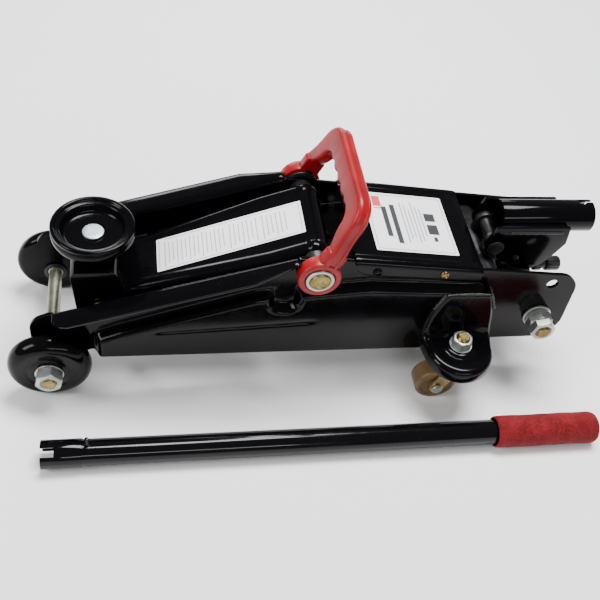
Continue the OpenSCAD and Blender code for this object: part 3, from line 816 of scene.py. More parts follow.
def fastener_tree(prototype: bpy.types.Object, look: Look):
    """Builds a tree that sets a copy of a fastener, turned to its facing, on every point."""
    tree, given = new_tree(
        "set_of_" + prototype.name,
        [("Fastener", "NodeSocketObject", None), ("Turn", "NodeSocketFloat", 0.0)],
    )
    cloud, shape, aim = faced_copies(tree, given, "Fastener", "Z")
    spin = add_node(
        tree, "FunctionNodeAxisAngleToRotation", {"Axis": (0, 0, 1)}, {"Angle": given.outputs["Turn"]},
    )
    turn = add_node(
        tree, "FunctionNodeRotateRotation", {"rotation_space": "LOCAL"},
        {"Rotation": aim, "Rotate By": spin},
    )
    copies = add_node(
        tree, "GeometryNodeInstanceOnPoints",
        links={"Points": cloud, "Instance": shape.outputs["Geometry"], "Rotation": turn},
    )
    end_tree(tree, copies, look)
    return tree


def coil_tree(look: Look):
    """Builds a tree that winds a round wire into a coil standing on the origin along Z."""
    tree, given = new_tree(
        "wound_coil",
        [
            ("Turns", "NodeSocketFloat", 8.0), ("Radius", "NodeSocketFloat", 0.004),
            ("Length", "NodeSocketFloat", 0.05), ("Wire", "NodeSocketFloat", 0.0006),
        ],
    )
    helix = add_node(
        tree, "GeometryNodeCurveSpiral", {"Resolution": 20},
        {
            "Rotations": given.outputs["Turns"], "Start Radius": given.outputs["Radius"],
            "End Radius": given.outputs["Radius"], "Height": given.outputs["Length"],
        },
    )
    ring = add_node(
        tree, "GeometryNodeCurvePrimitiveCircle", {"Resolution": 8}, {"Radius": given.outputs["Wire"]},
    )
    wire = add_node(
        tree, "GeometryNodeCurveToMesh", {"Fill Caps": True}, {"Curve": helix, "Profile Curve": ring},
    )
    end_tree(tree, wire, look)
    return tree


def weld_tree(look: Look):
    """Builds a tree that lays overlapping flattened drops along a path, as a weld bead."""
    tree, given = new_tree(
        "weld_bead", [("Step", "NodeSocketFloat", 0.0012), ("Size", "NodeSocketFloat", 0.0022)],
    )
    path = add_node(tree, "GeometryNodeMeshToCurve", links={"Mesh": given.outputs["Geometry"]})
    even = add_node(
        tree, "GeometryNodeResampleCurve", {"mode": "LENGTH"},
        {"Curve": path, "Length": given.outputs["Step"]},
    )
    drop = add_node(
        tree, "GeometryNodeMeshIcoSphere", {"Subdivisions": 2}, {"Radius": given.outputs["Size"]},
    )
    size = add_node(tree, "FunctionNodeRandomValue", {"data_type": "FLOAT", 2: 0.82, 3: 1.12, "Seed": 7})
    drops = add_node(
        tree, "GeometryNodeInstanceOnPoints",
        links={"Points": even, "Instance": drop, "Scale": size.outputs[1]},
    )
    end_tree(tree, drops, look)
    return tree


def bar_tree(look: Look):
    """Builds a tree that sets thin printed bars on points, each as long as its point says."""
    tree, given = new_tree("printed_bars", [("Bar", "NodeSocketObject", None)])
    cloud, shape, aim = faced_copies(tree, given, "Bar", "X")
    size = add_node(tree, "GeometryNodeInputNamedAttribute", {"data_type": "FLOAT_VECTOR", "Name": "size"})
    bars = add_node(
        tree, "GeometryNodeInstanceOnPoints",
        links={
            "Points": cloud, "Instance": shape.outputs["Geometry"], "Rotation": aim,
            "Scale": size.outputs["Attribute"],
        },
    )
    end_tree(tree, bars, look)
    return tree


# ---------------------------------------------------------------- fasteners


@dataclass(frozen=True)
class HexNut:
    """A hexagonal nut or head with chamfered corners, its seat at height 0 and facing up Z."""

    flats: float
    height: float
    bore: float
    washer_face: float = 0.4

    def radius(self, angle: float) -> float:
        """Gives the hexagon's radius at an angle."""
        step = math.pi / 3
        return self.flats / 2 / math.cos((angle % step) - step / 2)

    def prototype(self, name: str) -> bpy.types.Object:
        """Builds the nut in metres, standing on the origin."""
        edge = self.flats / 2 * 0.96
        slope = math.tan(math.radians(30))
        heights = [self.washer_face + 0.001, *spaced(self.washer_face + 0.3, self.height - 1.6, 3)]
        heights += spaced(self.height - 1.4, self.height, 6)
        steps = 72
        bm = bmesh.new()
        rings = []

        def ring(radii: Callable[[float], float], z: float) -> None:
            """Adds a ring of points at a height."""
            turns = [2 * math.pi * i / steps for i in range(steps)]
            points = [(radii(a) * math.cos(a) * MM, radii(a) * math.sin(a) * MM, z * MM) for a in turns]
            rings.append([bm.verts.new(p) for p in points])

        ring(lambda a: self.bore, 0.0)
        ring(lambda a: edge, 0.0)
        ring(lambda a: edge, self.washer_face)
        for z in heights:
            cone = edge + (self.height - z) / slope
            ring(lambda a, limit=cone: min(self.radius(a), limit), z)
        ring(lambda a: self.bore + 0.9, self.height)
        ring(lambda a: self.bore, self.height - 0.8)
        for low, high in zip(rings, rings[1:] + rings[:1]):
            for i in range(steps):
                j = (i + 1) % steps
                bm.faces.new((low[i], low[j], high[j], high[i]))
        bmesh.ops.recalc_face_normals(bm, faces=bm.faces)
        mesh = bpy.data.meshes.new(name)
        bm.to_mesh(mesh)
        bm.free()
        mesh.shade_smooth()
        mesh.set_sharp_from_angle(angle=math.radians(25))
        return add_object(name, mesh)


def set_fasteners(
    name: str, shape: HexNut, places: Sequence[tuple[Point, Point]], look: Look, turn_deg: float = 0.0,
) -> bpy.types.Object:
    """Sets copies of a nut with Geometry Nodes.

    Args:
        name: The finished piece's name.
        shape: The nut.
        places: For each copy the middle of its seat, and the way it faces.
        look: The finish.
        turn_deg: How far each nut is turned on its axis.

    Returns:
        The nuts as one mesh.
    """
    prototype = shape.prototype(name + "_one")
    mesh = points_mesh(name, [JACK.at(*p) for p, _ in places], [Vector(f) for _, f in places])
    made = run_tree(
        name, mesh, fastener_tree(prototype, look), {"Fastener": prototype, "Turn": math.radians(turn_deg)},
        look,
    )
    bpy.data.objects.remove(prototype)
    return made


def threaded(start: float, end: float, radius: float, pitch: float, depth: float) -> list[Flat]:
    """Gives the profile of a threaded stretch as ridges from start to end, with a chamfered tip."""
    out: list[Flat] = []
    count = max(int(abs(end - start) / pitch), 1)
    step = (end - start) / count
    for i in range(count):
        at = start + i * step
        out += [(radius, at), (radius, at + step * 0.15), (radius - depth, at + step * 0.55)]
    out += [(radius - depth * 1.6, end), (0.001, end)]
    return out


# ---------------------------------------------------------------- frame and plates


@dataclass
class SidePlates:
    """The two pressed side plates, mirror images of each other.

    Each is one sheet: a flat web, a bulge pressed out of its lower part, and a flange turned
    out along the front half of its top edge.
    """

    web: float = 46.0
    sheet: float = 3.0
    bulge: float = 8.9
    press: float = 6.5
    flange: float = 61.0
    low: float = 37.0
    hole: tuple[float, float, float] = (210.0, 104.5, 5.0)
    top_line: list[Flat] = field(
        default_factory=lambda: [
            (-193, 76.1), (-186, 79.7), (-6, 137.3), (-4, 136.6), (8, 136.0), (44, 132.6), (145, 121.6),
            (150, 121.4), (213, 115.1),
        ]
    )
    reach_line: list[Flat] = field(
        default_factory=lambda: [(-37, 61.0), (-8, 52.5), (-4, 51.6), (-2.5, 46.0)]
    )

    def outline_of_bulge(self) -> list[Flat]:
        """Gives the bulge's outline at the web, its bottom well below the plate."""
        corners = [
            (-157, -20), (-157, 58), (-137, 67), (-34, 104), (53, 113.6), (146, 108), (161, 98), (166, -20),
        ]
        return rounded(corners, [0, 8, 16, 30, 60, 10, 14, 0], 5)

    def outline_of_scallop(self) -> list[Flat]:
        """Gives the notch in the bulge's upper edge in front of the shaft."""
        return rounded([(-22, 140), (-18, 90), (-4, 90), (0, 140)], [0, 8, 8, 0], 6)

    def bottom(self, x: float) -> float:
        """Gives the plate's lowest point at x."""
        if x < -183:
            return 32 - math.sqrt(max(14.0**2 - (x + 190) ** 2, 0))
        if x > 211:
            return 61 - math.sqrt(max(24.0**2 - (x - 211) ** 2, 0))
        return along([(-183, 19.9), (-159, 36.4), (-155, self.low)], x)

    def top(self, x: float) -> float:
        """Gives the plate's highest point at x."""
        if x < -193:
            return 62 + math.sqrt(max(15.0**2 - (x + 188) ** 2, 0))
        if x > 213:
            arc_top = 95.1 + math.sqrt(max(20.0**2 - (x - 213) ** 2, 0))
            return arc_top if x <= 232.6 else along([(232.6, 99.0), (234.8, 63.0)], x)
        return along(self.top_line, x)

    def reach(self, x: float) -> float:
        """Gives how far out the flange reaches at x: the web's face where there is none."""
        if x < -186:
            return self.web
        if x < -174:
            t = (x + 186) / 12
            return self.web + (self.flange - self.web) * math.sqrt(max(1 - (1 - t) ** 2, 0))
        return along(self.reach_line, x) if x > -37 else self.flange

    def face(self, x: float, z: float, bulge: list[Flat], scallop: list[Flat]) -> float:
        """Gives how far out the pressed face lies at a point of the plate."""
        depth = min(inside_depth(bulge, x, z), -inside_depth(scallop, x, z))
        out = self.web + self.bulge * smooth(depth / self.press)
        t = min(max((x + 108) / 122, 0), 1)
        off = z - (65 + 9 * t)
        ends = smooth((x + 112) / 10) * smooth((18 - x) / 10)
        return out - 0.7 * ends * math.exp(-((off / 1.7) ** 2))

    def stations(self) -> list[float]:
        """Gives the places along the plate at which it is shaped, closer at its round ends."""
        front = [-202.9 + 13 * (i / 12) ** 2 for i in range(12)]
        rear = [234.8 - 22 * (i / 16) ** 2 for i in range(16)]
        middle = [-189.9 + 2.0 * i for i in range(202)]
        edges = [-37.0, -8.0, -6.0, -4.0, -3.2, -2.5, -2.0]
        return sorted({round(x, 3) for x in front + middle + edges + rear if -203 < x < 234.9})

    def right(self) -> bpy.types.Object:
        """Builds the right-hand plate."""
        bulge, scallop = self.outline_of_bulge(), self.outline_of_scallop()
        rows = []
        bend = 2.0
        for x in self.stations():
            low, high, reach = self.bottom(x), self.top(x), self.reach(x)
            fold = smooth((reach - self.web) / 5)
            start = high - self.sheet - bend
            low = min(low, start - 1)
            row = []
            for i in range(58):
                z = low + (start - low) * i / 57
                row.append((x, self.face(x, z, bulge, scallop), z))
            lip = max(reach - self.web - bend, 0.0)
            bent = [
                (bend - bend * math.cos(a), start + bend * math.sin(a))
                for a in spaced(math.pi / 12, math.pi / 2, 5)
            ]
            bent += [
                (bend + lip * t, high - self.sheet - 0.7 * smooth((t - 0.6) / 0.4))
                for t in spaced(0.12, 1, 7)
            ]
            for i, (out, z) in enumerate(bent):
                straight = start + (high - start) * (i + 1) / len(bent)
                row.append((x, self.web + out * fold, z * fold + straight * (1 - fold)))
            rows.append(row)
        plate = to_object("side_plate_right_pressing", grid_sheet(rows), 40)
        mesh_facing(plate, Vector((0, 1, 0)))
        thickened(plate, self.sheet, 0.45)
        x, z, r = self.hole
        cutter = turned("cutter", [(0.001, 30), (r, 30), (r, 70), (0.001, 70)], (x, 0, z), Axis.Y, 40)
        mod = plate.modifiers.new("hole", "BOOLEAN")
        mod.object = cutter
        mod.solver = "EXACT"
        bake_modifiers(plate, 58)
        bpy.data.objects.remove(cutter)
        return paint(plate, Look.ENAMEL)

    def build(self) -> None:
        right = self.right()
        left = mirrored(right, "side_plate_left_pressing")
        fit_out(right, "frame", "gloss_black_paint", "side_plate_right")
        fit_out(left, "frame", "gloss_black_paint", "side_plate_left")


def mesh_facing(obj: bpy.types.Object, way: Vector) -> None:
    """Turns a sheet's faces so that most of its area faces a way."""
    total = Vector((0, 0, 0))
    for face in obj.data.polygons:
        total += face.normal * face.area
    if total.dot(way) < 0:
        obj.data.flip_normals()


@dataclass
class TopCover:
    """The pressed cover over the power unit, with round long edges and skirts outside the plates."""

    front: float = 40.0
    rear: float = 145.0
    half: float = 48.2
    corner: float = 5.0
    sheet: float = 1.6
    slope: float = 0.11
    skirt: list[Flat] = field(
        default_factory=lambda: [(40, 5.2), (41, 8), (43, 11), (47, 13.6), (53, 15), (145, 13)]
    )

    def height(self, x: float) -> float:
        """Gives the cover's top at x."""
        return 129.1 - self.slope * (x - 100)

    def build(self) -> None:
        """Builds the cover as one bent sheet."""
        rows = []
        xs = [40, 40.3, 41, 42, 43, 45, 47, 50, 53, *spaced(58, 140, 24), 143, 144.6, 145]
        for x in xs:
            top, drop = self.height(x), along(self.skirt, x)
            ease = 0.5 * (1 - smooth((x - self.front) / 3)) + 0.5 * (1 - smooth((self.rear - x) / 3))
            side = [(self.half, top - drop + (drop - self.corner) * t) for t in spaced(0, 1, 6)]
            side += arc(self.half - self.corner, top - self.corner, self.corner, 9, 90, 9)
            # a shallow press line runs inside each round edge
            side += [
                (self.half - self.corner - 2.4, top - 0.05), (self.half - self.corner - 3.4, top - 0.75),
            ]
            side += [(self.half - self.corner - 4.6, top - 0.9), (26, top - 0.75), (12, top - 0.7)]
            half_row = [(x, y, z - ease) for y, z in side]
            rows.append(half_row + [(x, -y, z) for x, y, z in reversed(half_row)])
        cover = to_object("cover_pressing", grid_sheet(rows), 40)
        mesh_facing(cover, Vector((0, 0, 1)))
        thickened(cover, self.sheet, 0.3)
        fit_out(paint(cover, Look.ENAMEL), "frame", "gloss_black_paint", "cover_plate")


# ---------------------------------------------------------------- lift arm and saddle


@dataclass
class LiftArm:
    """The lifting arm: a channel with round long edges that rolls down behind its shaft."""

    pivot: Flat = SHAFT
    nose: float = -137.0
    slope: float = 0.39
    roll: float = 13.0
    corner: float = 7.0
    sheet: float = 3.0
    widths: list[Flat] = field(default_factory=lambda: [(-122, 29.0), (-25, 38.5)])
    belly: list[Flat] = field(
        default_factory=lambda: [
            (-137, 76.0), (-124, 73.0), (-112, 72.0), (-49, 90.0), (9, 111.0), (19, 115.0),
        ]
    )

    def top(self, x: float) -> float:
        """Gives the arm's upper face at x."""
        return self.pivot[1] + self.roll + self.slope * (x - self.pivot[0])

    def half(self, x: float) -> float:
        """Gives half the arm's width at x."""
        return along(self.widths, x)

    def section(self, x: float, z: float, inward: Vector, depth: float) -> list[Point]:
        """Gives one cross-section, from one cheek's lower edge over the top to the other's.

        Args:
            x: The upper face's place along the arm.
            z: Its height.
            inward: The way from the upper face into the arm, in x and z.
            depth: How far the cheeks reach inward.

        Returns:
            The section's points.
        """
        half = self.half(x)
        r = min(self.corner, depth * 0.6)
        side = [(half, r + (depth - r) * (1 - t)) for t in spaced(0, 1, 9)]
        side += [
            (half - r + r * math.cos(a), r - r * math.sin(a)) for a in spaced(math.pi / 16, math.pi / 2, 8)
        ]
        # the flat top is pressed a little hollow between its round edges
        side += [(half - r - 1.8, 0.02), (half - r - 3.2, 0.5), (half - r - 5, 0.62), (8, 0.6)]
        one = [(x + inward.x * d, y, z + inward.y * d) for y, d in side]
        return one + [(px, -y, pz) for px, y, pz in reversed(one)]

    def build_channel(self) -> bpy.types.Object:
        """Builds the channel and its rolled rear end."""
        px, pz = self.pivot
        normal = Vector((self.slope, -1)).normalized()
        rows = []
        last = px - self.roll * normal.x
        for x in spaced(self.nose, last - 0.5, 44):
            z = self.top(x) - 0.9 * (1 - smooth((x - self.nose) / 5))
            depth = 10.0
            while z + normal.y * depth > along(self.belly, x + normal.x * depth):
                depth += 0.5
            rows.append(self.section(x, z, normal, depth))
        for a in spaced(math.degrees(math.atan2(-normal.y, -normal.x)), -28, 26):
            out = Vector((math.cos(math.radians(a)), math.sin(math.radians(a))))
            rows.append(self.section(px + self.roll * out.x, pz + self.roll * out.y, -out, self.roll - 0.6))
        channel = to_object("lift_arm_channel", grid_sheet(rows), 44)
        mesh_facing(channel, Vector((0, 0, 1)))
        return bake_modifiers(thickened(channel, self.sheet, 0.45), 58)

    def build_lug(self) -> bpy.types.Object:
        """Builds one of the two nose plates that hold the saddle's pin."""
        sx, sz = -150.0, 73.0
        outline = [(-112, 74), (-112, 89), (-124, 85.8), (-154.5, 83.0)]
        outline += arc(sx, sz, 11, 128, 250, 14)
        return bevelled(slab("lug", outline, 26.1, 28.9), 0.4)

    def build(self) -> None:
        """Builds the arm's sheet metal, its tube and its crank."""
        lug = self.build_lug()
        px, pz = self.pivot
        web = [
            (-6, 105), (9, 111), (19, 115), *arc(px, pz, 12.2, -50, -26, 5), (px + 5, pz - 1),
            (px - 5, pz - 2),
        ]
        gusset = slab("gusset", web, 35.6, 38.45)
        parts = [
            self.build_channel(), lug, mirrored(lug, "lug_left"), gusset, mirrored(gusset, "gusset_left"),
        ]
        arm = joined("lift_arm_sheet", parts)
        fit_out(paint(arm, Look.ENAMEL), "lift_arm", "gloss_black_paint", "lift_arm")
        for node, look, slot, edge in (
            ("arm_pivot_tube", Look.CASTING, "satin_black_paint", 0.4),
            ("arm_crank", Look.CASTING, "satin_black_paint", 0.8),
            ("crank_pin", Look.ZINC, "bright_zinc", 0.6), ("saddle_pin", Look.STRAW, "yellow_zinc", 0.6),
        ):
            fit_out(softened(node, look, edge), "lift_arm", slot, node)


@dataclass
class Saddle:
    """The dished saddle, its rivet and the bracket that keeps it level."""

    x: float = -154.0
    rim: float = 129.0
    radius: float = 31.5

    def dish(self) -> bpy.types.Object:
        """Turns the saddle: a raised rim, a step inside it and a flat floor round the rivet."""
        top, r = self.rim, self.radius
        profile = [(5.2, top - 9.7), (5.2, top - 19), (16.6, top - 19), (17.4, top - 18.8)]
        profile += [(21.6, top - 16.7), (27.4, top - 13.4), (r - 1.5, top - 11.7), (r - 0.5, top - 10.8)]
        profile += [(r - 0.1, top - 9.4), (r, top - 8.6), (r, top - 4.4), (r - 0.5, top - 3.9)]
        profile += [(r - 0.5, top - 3.3), (r, top - 2.8), (r, top - 1.5)]
        profile += [(r - 0.5, top - 0.5), (r - 1.3, top), (r - 2.6, top), (r - 3.3, top - 0.35)]
        profile += [(r - 3.9, top - 1.3), (r - 4.4, top - 2.1), (r - 5.2, top - 2.4), (r - 6.4, top - 2.4)]
        profile += [(r - 7.1, top - 2.8), (r - 7.7, top - 4.4), (r - 8.6, top - 7.2), (r - 9.5, top - 8.9)]
        profile += [(r - 10.7, top - 9.5), (r - 12.5, top - 9.7), (5.2, top - 9.7)]
        return turned("saddle_dish", profile, (self.x, 0, 0), Axis.Z, 128, 50)

    def rivet(self) -> bpy.types.Object:
        """Turns the rivet: a flat peened head with a soft edge, and its shank's lower head."""
        top = self.rim
        profile = [
            (0.001, top - 26.4), (7.2, top - 26.4), (7.4, top - 26.2), (7.4, top - 23.7), (7.1, top - 23.5),
        ]
        profile += [(5, top - 23.4), (5, top - 9.3), (8.0, top - 9.3), (8.2, top - 9.1), (8.2, top - 8.2)]
        profile += [(7.9, top - 7.7), (7.2, top - 7.45), (4, top - 7.4), (0.001, top - 7.42)]
        return turned("saddle_rivet_peened", profile, (self.x, 0, 0), Axis.Z, 64)

    def build(self) -> None:
        """Builds the saddle, the rivet, the bracket and its pin."""
        fit_out(paint(self.dish(), Look.ENAMEL), "saddle", "gloss_black_paint", "saddle")
        fit_out(paint(self.rivet(), Look.RIVET), "saddle_bracket", "rivet_steel", "saddle_rivet")
        bracket = softened("saddle_bracket", Look.ENAMEL, 1.4, 3)
        fit_out(bracket, "saddle_bracket", "gloss_black_paint", "saddle_bracket")
        fit_out(softened("link_pin", Look.ZINC, 0.6), "saddle_bracket", "bright_zinc", "link_pin")
        for side in ("left", "right"):
            node = f"link_rod_{side}"
            fit_out(softened(node, Look.ENAMEL, 0.8), "link_rods", "gloss_black_paint", node)


# ---------------------------------------------------------------- wheels and casters


@dataclass
class FrontWheels:
    """The two front wheels with barrel treads, on one axle rod with nuts and washers."""

    x: float = -190.0
    z: float = 32.0
    radius: float = 32.0

    def wheel(self) -> bpy.types.Object:
        """Turns the right-hand wheel."""
        r = self.radius
        profile = [(6.15, 47.7), (9.6, 47.7), (10, 48.1), (10.2, 50), (r - 5, 50)]
        profile += arc(r - 5, 55, 5, -80, 0, 8)
        profile += [
            (23.5 + 8.5 * math.cos(a), 56.4 + 9.1 * math.sin(a)) for a in spaced(0.06, math.pi / 2, 16)
        ]
        profile += [
            (18.4, 65.5), (17.9, 65.1), (14.6, 65.1), (14.1, 65.45), (12.6, 65.5), (6.6, 65.5),
            (6.15, 65.1),
        ]
        profile.append(profile[0])
        return turned("front_wheel_right_turned", profile, (self.x, 0, self.z), Axis.Y, 128, 38)

    def axle(self) -> bpy.types.Object:
        """Turns the axle rod with a threaded end on each side."""
        half = [(5.4, 0.0), (5.4, 40.8), (6, 41.2), (6, 66)] + threaded(66, 76.1, 6, 1.25, 0.55)
        profile = both_ways(half)
        return turned("front_axle_rod", profile, (self.x, 0, self.z), Axis.Y, 48, 30)

    def build(self) -> None:
        """Builds the axle, its wheels, washers, clips and nuts."""
        wheel = paint(self.wheel(), Look.WHEEL_ENAMEL)
        left = mirrored(wheel, "front_wheel_left_turned")
        fit_out(wheel, "front_wheel_right", "wheel_black", "front_wheel_right")
        fit_out(left, "front_wheel_left", "wheel_black", "front_wheel_left")
        fit_out(paint(self.axle(), Look.AXLE), "frame", "bright_zinc", "front_axle")
        for side, name in ((1, "right"), (-1, "left")):
            tip = [(0.001, 75.0), (4.6, 75.0), (5.3, 75.6), (5.3, 76.3), (4.7, 76.9), (0.001, 76.9)]
            profile = [(r, side * h) for r, h in tip]
            end = turned(f"axle_end_{name}", profile, (self.x, 0, self.z), Axis.Y, 40)
            fit_out(paint(end, Look.STRAW), "frame", "yellow_zinc")
        nuts = set_fasteners(
            "front_wheel_nut_set", HexNut(19, 9.2, 6.1, 0.6),
            [((self.x, s * 66.8, self.z), (0, s, 0)) for s in (-1, 1)], Look.ZINC, 17,
        )
        fit_out(nuts, "frame", "bright_zinc", "front_wheel_nuts")
        washers = softened("front_wheel_washers", Look.ZINC, 0.3)
        fit_out(washers, "frame", "bright_zinc", "front_wheel_washers")
        clips = softened("axle_clips", Look.CASTING, 0.3)
        fit_out(clips, "frame", "satin_black_paint", "axle_clips")


@dataclass
class Casters:
    """The rear casters: a pressed wing on each side plate, a kingpin, a fork and a wheel."""

    x: float = 136.0
    y: float = 72.0
    shelf: float = 60.0
    round_r: float = 28.0
    sheet: float = 3.0
    edge: float = 5.0
    rim: float = 7.0
    wall: list[tuple[float, float, float]] = field(
        default_factory=lambda: [
            (57.8, 104.0, 19.5), (57.9, 97.0, 22.5), (58.1, 88.0, 25.5), (58.4, 79.0, 27.8),
            (58.9, 72.0, 29.0), (59.6, 66.6, 29.6), (60.9, 62.6, 29.9), (63.6, 60.4, 29.8),
            (73.0, 60.0, 28.0),
        ]
    )

    def lanes(self) -> list[tuple[float, float, float]]:
        """Gives y, z and half width down the wing, from its root to the middle of its round end."""
        out = []
        for (y0, z0, w0), (y1, z1, w1) in zip(self.wall, self.wall[1:]):
            for k in range(4):
                t = k / 4
                out.append((y0 + (y1 - y0) * t, z0 + (z1 - z0) * t, w0 + (w1 - w0) * t))
        return out + [self.wall[-1]]

    def sheet_normal(self, lanes: Sequence[tuple[float, float, float]], i: int) -> Vector:
        """Gives the outward normal, in y and z, of the wing at one lane."""
        a, b = lanes[max(i - 1, 0)], lanes[min(i + 1, len(lanes) - 1)]
        way = Vector((b[0] - a[0], b[1] - a[1])).normalized()
        return Vector((-way.y, way.x))

    def fall(self, inset: float) -> float:
        """Gives how far the surface drops at an inset from the wing's edge."""
        if inset >= self.edge:
            return 0.0
        return self.edge - math.sqrt(self.edge**2 - (self.edge - inset) ** 2)

    def wing(self) -> bpy.types.Object:
        """Builds the right-hand wing as one pressing with a turned-down rim."""
        lanes = self.lanes()
        insets = [(0.0, self.rim), (0.0, self.rim * 0.5), (0.0, 0.0)]
        insets += [(self.edge * (1 - math.cos(a)), 0.0) for a in spaced(0.25, math.pi / 2, 7)]
        insets += [(d, 0.0) for d in (7, 9.5, 12, 15, 18, 21, 24, 27, 27.9)]
        rows = []
        for inset, extra in insets:
            drop = self.fall(inset) + extra
            flank = []
            for i, (y, z, w) in enumerate(lanes):
                n = self.sheet_normal(lanes, i)
                flank.append((w * (1 - inset / self.round_r), y - n.x * drop, z - n.y * drop))
            r = self.round_r - inset
            row = [(self.x - half, y, z) for half, y, z in flank]
            for a in spaced(180, 0, 33)[1:-1]:
                c, s = math.cos(math.radians(a)), math.sin(math.radians(a))
                row.append((self.x + r * c, self.y + 1 + r * s, self.shelf - drop))
            rows.append(row + [(self.x + half, y, z) for half, y, z in reversed(flank)])
        wing = to_object("caster_wing_right_pressing", grid_sheet(rows), 44)
        mesh_facing(wing, Vector((0, 0.3, 1)))
        thickened(wing, self.sheet, 0.45)
        boss = turned(
            "boss",
            [(5.3, 0.0), (5.3, 1.5), (11.2, 1.5), (12.0, 1.2), (13.2, 0.4), (14.6, 0.0), (5.3, 0.0)],
            (self.x, self.y, self.shelf - 0.02), Axis.Z, 64,
        )
        return paint(joined("caster_wing_right_pressed", [wing, boss]), Look.ENAMEL)

    def wheel(self) -> bpy.types.Object:
        """Turns the right-hand caster wheel."""
        r, w = 17.5, 9.0
        profile = [(3.1, -w + 0.2), (5.2, -w), (5.8, -w + 0.9), (12.6, -w + 1.1), (13.4, -w + 0.2)]
        profile += arc(r - 3, -w + 3, 3, -90, 0, 7)
        profile = profile + [(r, 0.0)] + [(a, -b) for a, b in reversed(profile)]
        profile.append(profile[0])
        return turned("caster_wheel_right_moulded", profile, (self.x - 12, self.y, r), Axis.Y, 96, 38)

    def build(self) -> None:
        """Builds both casters."""
        wing = self.wing()
        wheel = paint(self.wheel(), Look.AMBER)
        left_wing = mirrored(wing, "caster_wing_left_pressed")
        left_wheel = mirrored(wheel, "caster_wheel_left_moulded")
        for side, shell, roller in (("right", wing, wheel), ("left", left_wing, left_wheel)):
            fit_out(shell, "frame", "gloss_black_paint", f"caster_wing_{side}")
            fit_out(roller, f"caster_wheel_{side}", "amber_nylon", f"caster_wheel_{side}")
            fork = softened(f"caster_fork_{side}", Look.FORK, 0.5)
            fit_out(fork, f"caster_{side}", "yellow_zinc", f"caster_fork_{side}")
            axle = softened(f"caster_axle_{side}", Look.ZINC, 0.4)
            fit_out(axle, f"caster_{side}", "bright_zinc", f"caster_axle_{side}")
        nuts = set_fasteners(
            "caster_nut_set", HexNut(15, 7.6, 5.1, 0.5),
            [((self.x, s * self.y, self.shelf + 2.6), (0, 0, 1)) for s in (-1, 1)], Look.ZINC, 10,
        )
        section = [(5.2, 1.6), (9.2, 1.6), (9.5, 1.9), (9.5, 2.4), (9.2, 2.6), (5.2, 2.6), (5.2, 1.6)]
        washers = [
            paint(turned("washer", section, (self.x, s * self.y, self.shelf), Axis.Z), Look.ZINC)
            for s in (-1, 1)
        ]
        fit_out(joined("caster_nuts_and_washers", [nuts, *washers]), "frame", "bright_zinc", "caster_nuts")
        pins = []
        for s in (-1, 1):
            profile = [(0.001, 42), (7.6, 42), (8, 42.4), (8, 44.6), (7.6, 45), (5, 45), (5, 62)]
            profile += threaded(62, 72.5, 5, 1.25, 0.5)
            pins.append(turned("pin", profile, (self.x, s * self.y, 0), Axis.Z, 48, 30))
        fit_out(
            paint(joined("caster_kingpin_pair", pins), Look.STRAW), "frame", "yellow_zinc",
            "caster_kingpins",
        )
        fit_out(softened("caster_races", Look.ZINC, 0.6), "frame", "bright_zinc", "caster_races")


# ---------------------------------------------------------------- red mouldings


